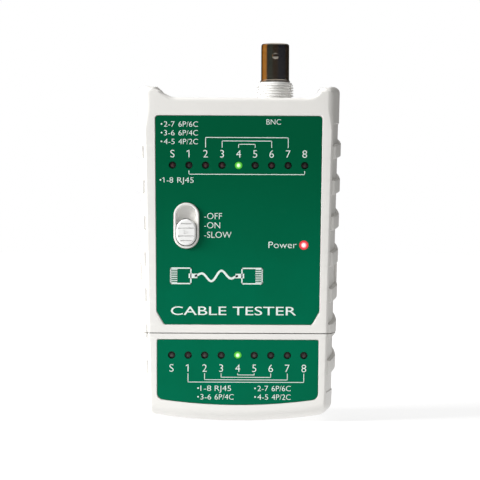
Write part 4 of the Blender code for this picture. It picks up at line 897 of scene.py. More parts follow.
def stroke(x0, z0, x1, z1, width=0.3 * MM):
    """A straight printed line, level or upright."""
    half = width / 2
    return block((min(x0, x1) - half, label_y - 0.018 * MM, min(z0, z1) - half),
                 (max(x0, x1) + half, label_y + 0.006 * MM, max(z0, z1) + half))


def bracket(first, last, z, foot, width=0.23 * MM):
    """A line that joins the numbers of one wiring pair."""
    a, b = led_x[first], led_x[last]
    return [stroke(a, z, b, z, width), stroke(a, z, a, foot, width), stroke(b, z, b, foot, width)]


def flag(x, z, height):
    """The short stroke at the top of a 1."""
    corners = [(x - 0.30 * height, z + 0.20 * height), (x - 0.30 * height, z + 0.33 * height),
               (x + 0.02 * height, z + 0.50 * height), (x + 0.02 * height, z + 0.365 * height)]
    return slab(corners, [(label_y - 0.018 * MM, 0), (label_y + 0.006 * MM, 0)])


numbers = ["S", "1", "2", "3", "4", "5", "6", "7", "8"]
shapes = [centred(n, x, 90.3 * MM, 2.6 * MM)
          for n, x in zip(numbers, led_x)] + [flag(led_x[1], 90.3 * MM, 2.6 * MM)]
for first, last, z in ((2, 7, 95.75), (3, 6, 94.6), (4, 5, 93.5)):
    shapes += bracket(first, last, z * MM, 92.45 * MM)
shapes += bracket(1, 8, 83.35 * MM, 84.45 * MM)
for row, (pair, plug) in enumerate((("2-7", "6P/6C"), ("3-6", "6P/4C"), ("4-5", "4P/2C"))):
    z = (100.25 - 2.94 * row) * MM
    shapes += [rod(0.28 * MM, (-26.0 * MM, label_y - 0.006 * MM, z), "Y", -0.012 * MM, 0.012 * MM, 16),
               words(pair, -25.2 * MM, z, 1.85 * MM, 3.6 * MM),
               words(plug, -20.3 * MM, z, 1.85 * MM, 6.6 * MM)]
shapes += [rod(0.28 * MM, (-26.3 * MM, label_y - 0.006 * MM, 81.4 * MM), "Y", -0.012 * MM, 0.012 * MM, 16),
           words("1-8", -25.2 * MM, 81.4 * MM, 1.85 * MM, 3.2 * MM),
           flag(-25.08 * MM, 81.4 * MM, 1.85 * MM),
           words("RJ45", -20.6 * MM, 81.4 * MM, 1.85 * MM, 5.5 * MM),
           words("BNC", 9.35 * MM, 101.1 * MM, 1.85 * MM, 4.9 * MM)]
for text, z in (("-OFF", 69.3), ("-ON", 66.2), ("-SLOW", 63.0)):
    shapes.append(words(text, -11.5 * MM, z * MM, 2.1 * MM))
shapes.append(words("Power", 10.2 * MM, 59.7 * MM, 2.2 * MM, 9.5 * MM))
shapes.append(words("CABLE TESTER", -22.6 * MM, 37.4 * MM, 2.9 * MM, 42.2 * MM, 0.004 * MM))

# Above the name a plug, a cable and a second plug are drawn in outline.
for side, plug_x in ((-1, -19.3 * MM), (1, 4.7 * MM)):
    plug_z, reach = 49.1 * MM, 3.4 * MM
    back, nose = plug_x - side * reach, plug_x + side * reach
    shapes += [stroke(back, plug_z - 2.6 * MM, nose, plug_z - 2.6 * MM, 0.42 * MM),
               stroke(back, plug_z + 2.6 * MM, nose, plug_z + 2.6 * MM, 0.42 * MM)]
    shapes += [stroke(end, plug_z - 2.6 * MM, end, plug_z + 2.6 * MM, 0.42 * MM) for end in (back, nose)]
    shapes += [stroke(nose, plug_z + (k - 3.5) * 0.62 * MM, nose - side * 2.1 * MM,
                      plug_z + (k - 3.5) * 0.62 * MM, 0.26 * MM) for k in range(8)]
    shapes.append(stroke(back, plug_z, back - side * 1.4 * MM, plug_z, 1.5 * MM))
cable_path = [(-14.6 + 14.6 * k / 60, 49.1 + 1.9 * math.sin(2 * math.pi * k / 30)
               * math.sin(math.pi * k / 60)) for k in range(61)]
over, under = [], []
for (x0, z0), (x1, z1) in zip(cable_path, cable_path[1:] + [(0.2, 49.1)]):
    lean = Vector((z0 - z1, x1 - x0)).normalized() * 0.36
    over.append(((x0 + lean.x) * MM, (z0 + lean.y) * MM))
    under.append(((x0 - lean.x) * MM, (z0 - lean.y) * MM))
shapes.append(slab(over + under[::-1], [(label_y - 0.018 * MM, 0), (label_y + 0.006 * MM, 0)]))
add("master_label_print", gathered(shapes), ink, "master", 30)

shapes = [centred(n, x, 18.1 * MM, 2.6 * MM)
          for n, x in zip(numbers, led_x)] + [flag(led_x[1], 18.1 * MM, 2.6 * MM)]
for first, last, z in ((4, 5, 15.8), (3, 6, 15.0), (2, 7, 14.15), (1, 8, 13.35)):
    shapes += bracket(first, last, z * MM, 16.2 * MM, 0.21 * MM)
for x, z, pair, plug in ((-13.3, 11.3, "1-8", "RJ45"), (-13.3, 8.4, "3-6", "6P/4C"),
                         (5.9, 11.3, "2-7", "6P/6C"), (5.9, 8.4, "4-5", "4P/2C")):
    shapes += [rod(0.28 * MM, (x * MM, label_y - 0.006 * MM, z * MM), "Y", -0.012 * MM, 0.012 * MM, 16),
               words(pair, (x + 0.8) * MM, z * MM, 1.85 * MM, 3.6 * MM),
               words(plug, (x + 5.6) * MM, z * MM, 1.85 * MM, (5.5 if plug == "RJ45" else 6.4) * MM)]
add("remote_label_print", gathered(shapes), ink, "remote", 30)

# ---------------------------------------------------------------- lamps
# Nine small indicator lamps in each row and a larger power lamp: dyed epoxy with a
# round nose and a collar at the foot. Lamp 4 is lit in both rows.
def lens(name, edge, core, glow=None, spots=((0.0, 0.0),), radius=1.15 * MM, dust=0.25):
    """Cast epoxy, darker at the rim and paler over the chip, and lit from within if it has a glow."""
    made = bpy.data.materials.new(name)
    made.use_nodes = True
    surface = Signal(made.node_tree)
    shader = made.node_tree.nodes["Principled BSDF"]
    place = surface.node("ShaderNodeTexCoord", out=3)
    nearest = None
    for x, z in spots:
        away = surface.node("ShaderNodeVectorMath", {"operation": "SUBTRACT"}, {0: place, 1: (x, 0, z)})
        away = surface.node("ShaderNodeVectorMath", {"operation": "MULTIPLY"}, {0: away, 1: (1, 0, 1)})
        away = surface.node("ShaderNodeVectorMath", {"operation": "LENGTH"}, {0: away}, out=1)
        nearest = away if nearest is None else nearest.math("MINIMUM", away)
    inward = 1.0 - nearest.between(0.15 * radius, 0.95 * radius)
    cloud = surface.node("ShaderNodeTexNoise", {}, {"Vector": place, "Scale": 900.0, "Detail": 3.0})
    base = (inward * 0.8 + cloud * 0.2).mix(edge, core)
    surface.tree.links.new(base.socket, shader.inputs["Base Color"])
    surface.tree.links.new((cloud * dust + 0.18).socket, shader.inputs["Roughness"])
    if glow:
        rim, heart, strength = glow
        light = (inward * inward).mix(rim, heart)
        surface.tree.links.new(light.socket, shader.inputs["Emission Color"])
        shader.inputs["Emission Strength"].default_value = strength
    shader.inputs["Specular IOR Level"].default_value = 0.25
    return made


dark_spots = [(x, led_z) for x in (led_x[0], led_x[2], led_x[3], led_x[6])]
lamp_dark = lens("lamp_unlit", (0.036, 0.035, 0.033), (0.085, 0.036, 0.040), None, dark_spots)
lamp_faded = lens("lamp_unlit_remote", (0.055, 0.046, 0.044), (0.085, 0.078, 0.072), None,
                  [(x, remote_led_z) for x in (led_x[0], led_x[2], led_x[5])])
lamp_green = lens("lamp_green", (0.04, 0.40, 0.03), (0.5, 0.9, 0.4),
                  ((0.075, 0.42, 0.030), (0.62, 0.95, 0.52), 1.0), [(0, led_z), (0, remote_led_z)])
lamp_red = lens("lamp_power", (0.45, 0.02, 0.03), (0.9, 0.5, 0.5),
                ((0.70, 0.035, 0.05), (1.0, 0.80, 0.82), 1.0), [(power_x, power_z)], 1.45 * MM)
board_front = -8.7 * MM


def lamp_shape(radius, flange, x, z, nose):
    """Round nose, straight body, and a collar at the foot."""
    base = board_front - 0.3 * MM
    dome = [(0, nose)]
    for k in range(1, 9):
        a = math.pi / 2 * k / 8
        dome.append((radius * math.sin(a), nose + 0.8 * radius * (1 - math.cos(a))))
    profile = dome + [(radius, base - 0.7 * MM), (flange, base - 0.7 * MM), (flange, base - 0.1 * MM),
                      (flange - 0.1 * MM, base), (0, base)]
    return turned(profile, (x, 0, z), "Y", 40)


for row, z, body, plain in (("master", led_z, "master", lamp_dark),
                            ("remote", remote_led_z, "remote", lamp_faded)):
    for number, x in zip(numbers, led_x):
        lit = number == "4"
        made = add(f"{row}_lamp_{number.lower()}",
                   lamp_shape(1.15 * MM, 1.4 * MM, x, z, label_y + (0.10 if lit else 0.28) * MM),
                   lamp_green if lit else plain, body)
        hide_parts(f"{row}_led_{number.lower()}")
made = add("power_lamp", lamp_shape(1.45 * MM, 1.75 * MM, power_x, power_z, label_y + 0.10 * MM), lamp_red,
           "master")
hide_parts("power_led")

# ---------------------------------------------------------------- slide switch
# The three-way slide switch is soldered to the board. Its white knob runs in the oval
# well: two grooves above and below a plain band with a small arrow that shows the way.
knob_white = plastic("knob_white", (0.86, 0.86, 0.85), (0.83, 0.83, 0.82), 0.05 * MM, 0.004 * MM, 0.34)
knob_z = 63.75 * MM
knob_front = face_y - 1.2 * MM
knob = add("switch_knob_cap", slab(pill(switch_x, knob_z, 6.6 * MM, 8.9 * MM),
                                   [(face_y + 0.8 * MM, 0.0), (knob_front + 0.55 * MM, 0.0),
                                    (knob_front + 0.3 * MM, 0.06 * MM), (knob_front + 0.12 * MM, 0.2 * MM),
                                    (knob_front + 0.03 * MM, 0.4 * MM), (knob_front, 0.65 * MM)]),
           knob_white, "knob")
steps = [("UNION", block((switch_x - 0.9 * MM, face_y + 0.3 * MM, 61.55 * MM),
                         (switch_x + 0.9 * MM, inner_y, 63.55 * MM)))]
for up, half_groove in ((2.90, 1.75), (1.40, 2.75), (-1.25, 2.75), (-2.80, 1.95)):
    z = knob_z + up * MM
    groove = [(switch_x - half_groove * MM, z - 0.2 * MM), (switch_x + half_groove * MM, z - 0.2 * MM),
              (switch_x + half_groove * MM, z + 0.2 * MM), (switch_x - half_groove * MM, z + 0.2 * MM)]
    floor_shape = [(x, z + (h - z) * 0.45) for x, h in groove]
    open_shape = [(x, z + (h - z) * 1.25) for x, h in groove]
    bm = loft([[(x, knob_front + 0.42 * MM, h) for x, h in floor_shape],
               [(x, knob_front + 0.02 * MM, h) for x, h in groove],
               [(x, knob_front - 0.5 * MM, h) for x, h in open_shape]])
    steps.append(("DIFFERENCE", bm))
arrow = [(switch_x - 0.75 * MM, knob_z - 0.62 * MM), (switch_x + 1.05 * MM, knob_z + 0.05 * MM),
         (switch_x - 0.75 * MM, knob_z + 0.72 * MM)]
steps.append(("DIFFERENCE", slab(arrow, [(knob_front + 0.16 * MM, 0), (knob_front - 0.5 * MM, 0)])))
raised = [(x * 0.55 + (switch_x - 0.15 * MM) * 0.45, z * 0.55 + (knob_z + 0.05 * MM) * 0.45)
          for x, z in arrow]
steps.append(("UNION", slab(raised, [(knob_front + 0.3 * MM, 0), (knob_front + 0.02 * MM, 0)])))
carve(knob, steps, 32)
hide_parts("switch_knob")


def metal(name, color, dull, roughness=0.22, scratch_scale=600.0, spread=0.12):
    """Plated or bare metal: clouding of the plate and fine scratches along one way."""
    made = bpy.data.materials.new(name)
    made.use_nodes = True
    surface = Signal(made.node_tree)
    shader = made.node_tree.nodes["Principled BSDF"]
    place = surface.node("ShaderNodeTexCoord", out=3)
    stretched = surface.node("ShaderNodeMapping", {}, {0: place, 3: (1.0, 1.0, 7.0)})
    scratches = surface.node("ShaderNodeTexNoise", {},
                             {"Vector": stretched, "Scale": scratch_scale, "Detail": 5.0})
    cloud = surface.node("ShaderNodeTexNoise", {},
                         {"Vector": place, "Scale": 220.0, "Detail": 3.0}).between(0.3, 0.7)
    surface.tree.links.new((cloud * 0.8).mix(color, dull).socket, shader.inputs["Base Color"])
    surface.tree.links.new((scratches * spread + cloud * 0.06 + (roughness - 0.06)).socket,
                           shader.inputs["Roughness"])
    bump = surface.node("ShaderNodeBump", {}, {"Height": scratches, "Strength": 0.12, "Distance": 0.00002})
    surface.tree.links.new(bump.socket, shader.inputs["Normal"])
    shader.inputs["Metallic"].default_value = 1.0
    return made


tin_plate = metal("tin_plate", (0.60, 0.59, 0.57), (0.42, 0.41, 0.40), 0.36)
switch_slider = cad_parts["slide_switch_slider"]
switch_slider.data.materials.clear()
switch_slider.data.materials.append(knob_white)

# The switch body: a tin-plated frame with a slot for the slider and four small
# windows near its corners.
frame_low, frame_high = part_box("slide_switch_body")
shell = add("switch_frame", block(frame_low, frame_high), tin_plate, "master", 30)
steps = [("DIFFERENCE", block((switch_x - 1.3 * MM, frame_low.y - 1 * MM, 60.75 * MM),
                              (switch_x + 1.3 * MM, frame_low.y + 1.2 * MM, 68.85 * MM)))]
for z in (frame_low.z + 1.6 * MM, frame_high.z - 1.6 * MM):
    for side in (-1, 1):
        x0, x1 = sorted((switch_x + side * 2.0 * MM, switch_x + side * 2.6 * MM))
        steps.append(("DIFFERENCE", block((x0, frame_low.y + 0.5 * MM, z - 0.6 * MM),
                                          (x1, frame_high.y - 0.5 * MM, z + 0.6 * MM))))
carve(shell, steps, 30)
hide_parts("slide_switch_body")

# ---------------------------------------------------------------- coaxial socket
# A board-mount BNC socket: the white housing's threaded collar stands through the top
# face, and the nickel-plated brass barrel with its two bayonet lugs stands on the collar.
collar_top = 115.5 * MM
socket_white = plastic("socket_white", (0.84, 0.835, 0.82), (0.80, 0.795, 0.78), 0.06 * MM, 0.004 * MM,
                       0.36)


def threaded(radius, root, pitch, low, high, centre, axis, segments=96, per_turn=10):
    """A solid rod with a real single-start screw thread that runs out at both ends."""
    rows = int((high - low) / (pitch / per_turn))
    loops = []
    for r in range(rows + 1):
        z = low + (high - low) * r / rows
        fade = ease((z - low) / (0.8 * pitch)) * ease((high - z) / (0.8 * pitch))
        loop = []
        for i in range(segments):
            a = 2 * math.pi * i / segments
            phase = (z / pitch - i / segments) % 1.0
            crest = min(1.0, max(0.0, 1.9 - abs(phase - 0.5) * 6.2)) if fade > 0 else 0.0
            here = root + (radius - root) * crest * fade
            u, v = here * math.cos(a), here * math.sin(a)
            offset = {"Y": (u, z, -v), "Z": (u, v, z)}[axis]
            loop.append(Vector(centre) + Vector(offset))
        loops.append(loop)
    return loft(loops)


housing_low, housing_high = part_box("bnc_housing")
base_top = 107.0 * MM
housing = add("socket_housing", slab(rounded([(housing_low.x, housing_low.z),
                                              (housing_high.x, housing_low.z), (housing_high.x, base_top),
                                              (housing_low.x, base_top)], 0.5 * MM),
                                     [(housing_low.y, 0), (housing_high.y, 0)]), socket_white, "master",
              32)
collar = threaded(6.35 * MM, 5.62 * MM, 0.907 * MM, 109.4 * MM, collar_top - 0.30 * MM, (socket_x, 0, 0),
                  "Z")
cap = turned([(0, collar_top - 0.6 * MM), (5.8 * MM, collar_top - 0.6 * MM),
              (5.8 * MM, collar_top - 0.12 * MM), (5.68 * MM, collar_top), (0, collar_top)],
             (socket_x, 0, 0), "Z", 96)
stem = turned([(0, base_top - 1 * MM), (5.6 * MM, base_top - 1 * MM), (5.6 * MM, 109.6 * MM),
               (0, 109.6 * MM)], (socket_x, 0, 0), "Z", 96)
carve(housing, [("UNION", stem), ("UNION", collar), ("UNION", cap)], 32)
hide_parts("bnc_housing")

nickel = metal("nickel_plate", (0.60, 0.55, 0.48), (0.44, 0.39, 0.33), 0.17, 900.0, 0.10)
gold = metal("gold_plate", (0.85, 0.62, 0.24), (0.72, 0.50, 0.18), 0.24)
barrel_foot, barrel_top = 115.8 * MM, 128.9 * MM
profile = [(2.7 * MM, barrel_foot), (5.05 * MM, barrel_foot), (5.12 * MM, barrel_foot + 0.1 * MM),
           (5.12 * MM, barrel_foot + 0.4 * MM), (5.02 * MM, barrel_foot + 0.52 * MM),
           (4.88 * MM, barrel_foot + 0.6 * MM), (4.83 * MM, barrel_foot + 0.75 * MM),
           (4.825 * MM, barrel_foot + 1.0 * MM), (4.825 * MM, barrel_top - 1.6 * MM),
           (4.80 * MM, barrel_top - 0.45 * MM), (4.70 * MM, barrel_top - 0.18 * MM),
           (4.50 * MM, barrel_top), (4.22 * MM, barrel_top), (4.08 * MM, barrel_top - 0.12 * MM),
           (4.05 * MM, barrel_top - 0.35 * MM), (4.05 * MM, barrel_foot + 2.6 * MM),
           (2.7 * MM, barrel_foot + 2.6 * MM)]
barrel = add("socket_barrel", turned(profile, (socket_x, 0, 0), "Z", 128), nickel, "master",
             34)
lugs = []
for side in (-1, 1):
    root, tip = side * 4.45 * MM, side * 5.575 * MM
    lugs.append(("UNION", turned([(0, root), (1.08 * MM, root), (1.08 * MM, side * 4.75 * MM),
                                  (1.0 * MM, side * 4.85 * MM), (1.0 * MM, tip - side * 0.22 * MM),
                                  (0.93 * MM, tip - side * 0.08 * MM), (0.75 * MM, tip), (0, tip)],
                                 (socket_x, 0, barrel_top - 4.55 * MM), "Y", 48)))
carve(barrel, lugs, 34)
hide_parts("bnc_barrel")

ptfe = plastic("socket_insulator", (0.86, 0.855, 0.84), (0.82, 0.81, 0.79), 0.08 * MM, 0.003 * MM, 0.45)
mouth_z = barrel_top - 4.9 * MM
insulator = add("socket_dielectric", turned([(1.24 * MM, barrel_foot + 0.1 * MM),
                                             (2.4 * MM, barrel_foot + 0.1 * MM),
                                             (2.4 * MM, mouth_z - 0.2 * MM), (2.2 * MM, mouth_z),
                                             (1.45 * MM, mouth_z), (1.24 * MM, mouth_z - 0.25 * MM)],
                                            (socket_x, 0, 0), "Z", 64), ptfe, "master")
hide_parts("bnc_insulator")
pin_top = mouth_z - 0.4 * MM
pin = add("socket_contact", turned([(0, barrel_foot + 0.2 * MM), (1.08 * MM, barrel_foot + 0.2 * MM),
                                    (1.08 * MM, pin_top - 0.1 * MM), (0.95 * MM, pin_top),
                                    (0.62 * MM, pin_top), (0.52 * MM, pin_top - 0.15 * MM),
                                    (0.5 * MM, pin_top - 2.6 * MM), (0, pin_top - 2.6 * MM)],
                                   (socket_x, 0, 0), "Z", 40), gold, "master")
split = [("DIFFERENCE", block((socket_x - 2 * MM, -0.1 * MM, pin_top - 2.2 * MM),
                              (socket_x + 2 * MM, 0.1 * MM, pin_top + 1 * MM)))]
carve(pin, split)
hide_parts("bnc_centre_contact")

# ---------------------------------------------------------------- modular sockets
# One eight-way socket stands in the master's top face, the other in the remote end.
# Black glass-filled nylon, with a stepped mouth for the plug and its latch, and
# eight gold-plated springs that lean back into the mouth.
jack_nylon = plastic("jack_nylon", (0.018, 0.018, 0.019), (0.027, 0.027, 0.028), 0.12 * MM, 0.006 * MM,
                     0.40)
jack_front, jack_rear = -6.8 * MM, 6.4 * MM
mouth_front, mouth_rear, mouth_half = -4.5 * MM, 3.7 * MM, 5.95 * MM
mouth_depth, latch_half = 13.0 * MM, 3.1 * MM


def upright(x_half, y_low, y_high, x, radius, stations):
    """A rounded rectangle in X and Y, lofted through (z, inset) stations."""
    loops = []
    for z, inset in stations:
        corners = [(x + x_half - inset, y_low + inset), (x + x_half - inset, y_high - inset),
                   (x - x_half + inset, y_high - inset), (x - x_half + inset, y_low + inset)]
        loops.append([(u, v, z) for u, v in rounded(corners, max(0.02 * MM, radius - inset), 4)])
    return loft(loops)


def tube(points, radius, segments=12):
    """A round wire along a path, closed at both ends."""
    path = [Vector(p) for p in points]
    side = None
    loops = []
    for i, here in enumerate(path):
        ahead = (path[min(i + 1, len(path) - 1)] - path[max(i - 1, 0)]).normalized()
        if side is None:
            side = ahead.orthogonal().normalized()
        side = (side - ahead * side.dot(ahead)).normalized()
        other = ahead.cross(side)
        loops.append([here + (side * math.cos(a) + other * math.sin(a)) * radius
                      for a in (2 * math.pi * k / segments for k in range(segments))])
    return loft(loops)


def through(knots, steps):
    """A smooth path through all the knots."""
    padded = [Vector(k) for k in [knots[0]] + list(knots) + [knots[-1]]]
    path = []
    for a, b, c, d in zip(padded, padded[1:], padded[2:], padded[3:]):
        for k in range(steps):
            t = k / steps
            path.append(0.5 * (2 * b + (c - a) * t + (2 * a - 5 * b + 4 * c - d) * t ** 2
                               + (3 * b - a - 3 * c + d) * t ** 3))
    return path + [padded[-1]]


def modular_socket(row, x, top, body):
    foot = top - 18 * MM
    housing = add(f"{row}_jack_shell", upright(8.0 * MM, jack_front, jack_rear, x, 0.5 * MM,
                                               [(foot, 0.3 * MM), (foot + 0.3 * MM, 0),
                                                (top - 0.25 * MM, 0), (top, 0.25 * MM)]), jack_nylon, body)
    mouth = upright(mouth_half, mouth_front, mouth_rear, x, 0.3 * MM,
                    [(top - mouth_depth, 0), (top - 0.7 * MM, 0), (top, -0.45 * MM),
                     (top + 1 * MM, -0.45 * MM)])
    latch = upright(latch_half, mouth_rear - 1 * MM, mouth_rear + 1.5 * MM, x, 0.2 * MM,
                    [(top - 0.7 * mouth_depth, 0), (top - 0.4 * MM, 0), (top, -0.25 * MM),
                     (top + 1 * MM, -0.25 * MM)])
    cuts = [("DIFFERENCE", mouth), ("DIFFERENCE", latch)]
    for k in range(8):
        place = x + (k - 3.5) * 1.02 * MM
        cuts.append(("DIFFERENCE", block((place - 0.28 * MM, mouth_front - 0.55 * MM, top - 9 * MM),
                                         (place + 0.28 * MM, mouth_front + 0.1 * MM, top - 2.2 * MM))))
    for side in (-1, 1):
        x0, x1 = sorted((x + side * 7.5 * MM, x + side * 9 * MM))
        cuts.append(("DIFFERENCE", block((x0, -3.0 * MM, top - 12 * MM), (x1, 3.0 * MM, top - 5 * MM))))
    carve(housing, cuts)
    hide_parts(f"{row}_jack_housing")
    bar_y, bar_z = mouth_front + 0.3 * MM, top - mouth_depth + 0.3 * MM
    comb = add(f"{row}_jack_springs", block((x - 4.07 * MM, bar_y, bar_z),
                                            (x + 4.07 * MM, bar_y + 0.5 * MM, bar_z + 1.2 * MM)), gold,
               body)
    springs = []
    for k in range(8):
        place = x + (k - 3.5) * 1.02 * MM
        knots = [(place, bar_y + 0.25 * MM, bar_z + 0.6 * MM), (place, bar_y + 0.25 * MM, top - 5.2 * MM),
                 (place, bar_y + 0.28 * MM, top - 3.6 * MM), (place, bar_y + 0.62 * MM, top - 3.0 * MM),
                 (place, bar_y + 0.98 * MM, top - 3.7 * MM), (place, bar_y + 2.15 * MM, top - 8.4 * MM)]
        springs.append(("UNION", tube(through(knots, 4), 0.2 * MM, 8)))
    carve(comb, springs)
    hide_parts(f"{row}_jack_contacts")


modular_socket("master", jack_x, jack_top, "master")
modular_socket("remote", 0.0, parting_z - seam / 2, "remote")

# ---------------------------------------------------------------- circuit boards
# Glass-epoxy boards under green solder mask stand behind each face and carry the
# lamps, the switch and the sockets. Solder beads show where the lamps' legs come through.
board_green = bpy.data.materials.new("board_green")
board_green.use_nodes = True
mask = Signal(board_green.node_tree)
mask_shader = board_green.node_tree.nodes["Principled BSDF"]
mask_place = mask.node("ShaderNodeTexCoord", out=3)
mask_split = mask.node("ShaderNodeSeparateXYZ", {}, {0: mask_place})
mask_up = mask_split.output(2)
mask_plane = mask.node("ShaderNodeCombineXYZ", {}, {0: mask_split, 1: mask_up})
tracks = mask.node("ShaderNodeTexBrick", {"offset": 0.5},
                   {"Vector": mask_plane, "Color1": (0, 0, 0, 1), "Color2": (0, 0, 0, 1),
                    "Mortar": (1, 1, 1, 1), "Scale": 130.0, "Mortar Size": 0.035})
weave = mask.node("ShaderNodeTexWave", {"wave_type": "BANDS", "bands_direction": "DIAGONAL"},
                  {"Vector": mask_plane, "Scale": 700.0, "Distortion": 0.6})
mask_tint = (tracks * 0.75).mix((0.006, 0.070, 0.024), (0.030, 0.180, 0.062))
mask_tint = (weave * 0.12).mix(mask_tint, (0.02, 0.13, 0.05))
mask.tree.links.new(mask_tint.socket, mask_shader.inputs["Base Color"])
mask.tree.links.new((weave * 0.05 + 0.26).socket, mask_shader.inputs["Roughness"])
mask_bump = mask.node("ShaderNodeBump", {}, {"Height": tracks * 0.8 + weave * 0.1, "Strength": 0.5,
                                             "Distance": 0.00004})
mask.tree.links.new(mask_bump.socket, mask_shader.inputs["Normal"])
solder = metal("solder", (0.62, 0.62, 0.60), (0.46, 0.46, 0.45), 0.28, 900.0)
board_rear = -7.1 * MM


def circuit_board(row, lamp_z, body):
    low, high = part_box(f"{row}_circuit_board")
    outline = rounded([(low.x, low.z), (high.x, low.z), (high.x, high.z), (low.x, high.z)], 1.0 * MM)
    board = add(f"{row}_board", slab(outline, [(low.y, 0), (high.y, 0)]), board_green, body)
    drills = []
    for x in (low.x + 2.2 * MM, high.x - 2.2 * MM):
        drills.append(("DIFFERENCE", rod(0.8 * MM, (x, 0, high.z - 2.2 * MM), "Y", low.y - 1 * MM,
                                         high.y + 1 * MM, 24)))
        drills.append(("DIFFERENCE", rod(0.8 * MM, (x, 0, low.z + 2.2 * MM), "Y", low.y - 1 * MM,
                                         high.y + 1 * MM, 24)))
    carve(board, drills)
    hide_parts(f"{row}_circuit_board")
    beads = []
    for x in led_x:
        for side in (-1, 1):
            beads.append(turned([(0, board_rear - 0.02 * MM), (0.62 * MM, board_rear - 0.02 * MM),
                                 (0.50 * MM, board_rear + 0.06 * MM), (0.28 * MM, board_rear + 0.13 * MM),
                                 (0.2 * MM, board_rear + 0.22 * MM), (0, board_rear + 0.24 * MM)],
                                (x + side * 1.0 * MM, 0, lamp_z), "Y", 14))
    add(f"{row}_solder_beads", gathered(beads), solder, body)


circuit_board("master", led_z, "master")
circuit_board("remote", remote_led_z, "remote")

# Two surface-mounted chips on the back of the master board: the one that steps the
# lamps and the one that drives them. Black epoxy with a dot at pin one, tinned legs.
chip_epoxy = plastic("chip_epoxy", (0.020, 0.020, 0.021), (0.030, 0.030, 0.031), 0.10 * MM, 0.010 * MM,
                     0.52)
for chip_name in ("sequencer_chip", "lamp_driver_chip"):
    chip_low, chip_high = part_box(chip_name)
    chip_x, chip_z = (chip_low.x + chip_high.x) / 2, (chip_low.z + chip_high.z) / 2
    chip_half = (chip_high.x - chip_low.x) / 2
    outline = [(chip_x - chip_half, chip_z - 3 * MM), (chip_x + chip_half, chip_z - 3 * MM),
               (chip_x + chip_half, chip_z + 3 * MM), (chip_x - chip_half, chip_z + 3 * MM)]
    pinched = [(chip_x + (x - chip_x) * 0.97, chip_z + (z - chip_z) * 0.95) for x, z in outline]
    chip_mid = (chip_low.y + chip_high.y) / 2
    body_mesh = loft([[(x, y, z) for x, z in shape]
                      for y, shape in ((chip_low.y + 0.15 * MM, pinched), (chip_mid, outline),
                                       (chip_high.y, pinched))])
    chip = add(f"{chip_name}_body", body_mesh, chip_epoxy, "master", 20)
    carve(chip, [("DIFFERENCE", rod(0.45 * MM, (chip_x - chip_half + 1.1 * MM, 0, chip_z - 1.9 * MM), "Y",
                                    chip_high.y - 0.12 * MM, chip_high.y + 1 * MM, 20))], 20)
    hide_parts(chip_name)
    legs = []
    for side in (-1, 1):
        for k in range(8):
            x = chip_x + (k - 3.5) * 1.27 * MM
            bend = [(chip_mid + 0.08 * MM, 2.9), (chip_mid + 0.08 * MM, 3.35),
                    (chip_low.y + 0.22 * MM, 3.62), (chip_low.y + 0.22 * MM, 4.0)]
            under = [(y - 0.18 * MM, z) for y, z in reversed(bend)]
            shape = [(y, chip_z + side * z * MM) for y, z in bend + under]
            legs.append(loft([[(u, y, z) for y, z in shape] for u in (x - 0.2 * MM, x + 0.2 * MM)]))
    add(f"{chip_name}_legs", gathered(legs), tin_plate, "master", 20)

# ---------------------------------------------------------------- battery
# A nine-volt block battery: a steel can in a printed plastic wrap, its ends crimped
# over, with one crown-shaped stud and one plain one. It lies across the bay.
wrap = bpy.data.materials.new("battery_wrap")
wrap.use_nodes = True
wrapping = Signal(wrap.node_tree)
wrap_shader = wrap.node_tree.nodes["Principled BSDF"]
wrap_place = wrapping.node("ShaderNodeTexCoord", out=3)
wrap_along = wrapping.node("ShaderNodeSeparateXYZ", {}, {0: wrap_place})
wrap_band = wrap_along.between(0.0098, 0.0102)
wrap_scuff = wrapping.node("ShaderNodeTexNoise", {},
                           {"Vector": wrap_place, "Scale": 160.0, "Detail": 6.0}).between(0.55, 0.75)
wrap_color = wrap_band.mix((0.030, 0.036, 0.050), (0.36, 0.37, 0.39))
wrap_color = (wrap_scuff * 0.3).mix(wrap_color, (0.16, 0.16, 0.17))
wrapping.tree.links.new(wrap_color.socket, wrap_shader.inputs["Base Color"])
wrapping.tree.links.new((wrap_scuff * 0.2 + 0.30).socket, wrap_shader.inputs["Roughness"])
wrap_bump = wrapping.node("ShaderNodeBump", {},
                          {"Height": wrap_scuff, "Strength": 0.2, "Distance": 0.00003})
wrapping.tree.links.new(wrap_bump.socket, wrap_shader.inputs["Normal"])
battery_y, battery_z = 3.35 * MM, 51.75 * MM
battery_left, battery_right = -26.8 * MM, 19.6 * MM


def battery_ring(x, half_y, half_z, radius):
    """A rounded section across the battery's length."""
    corners = [(battery_y - half_y, battery_z - half_z), (battery_y + half_y, battery_z - half_z),
               (battery_y + half_y, battery_z + half_z), (battery_y - half_y, battery_z + half_z)]
    return [(x, y, z) for y, z in rounded(corners, radius, 6)]


can = loft([battery_ring(battery_left + dx * MM, 8.75 * MM - inset * MM, 13.25 * MM - inset * MM,
                         2.5 * MM - inset * MM)
            for dx, inset in ((0.55, 1.1), (0.5, 0.75), (0.0, 0.6), (0.0, 0.35), (0.35, 0.0), (46.05, 0.0),
                              (46.4, 0.35), (46.4, 0.6), (45.9, 0.75), (45.85, 1.1))])
battery = add("battery_block", can, wrap, "master", 30)
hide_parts("battery_9v")
stud_low, stud_high = battery_z - 6.475 * MM, battery_z + 6.475 * MM
stud_plain = turned([(0, battery_right - 0.6 * MM), (2.6 * MM, battery_right - 0.6 * MM),
                     (2.6 * MM, battery_right + 0.2 * MM), (2.2 * MM, battery_right + 0.5 * MM),
                     (2.2 * MM, battery_right + 1.5 * MM), (2.55 * MM, battery_right + 1.8 * MM),
                     (2.3 * MM, battery_right + 2.1 * MM), (0, battery_right + 2.1 * MM)],
                    (0, battery_y, stud_high), "X", 40)
studs = add("battery_studs", stud_plain, tin_plate, "master")
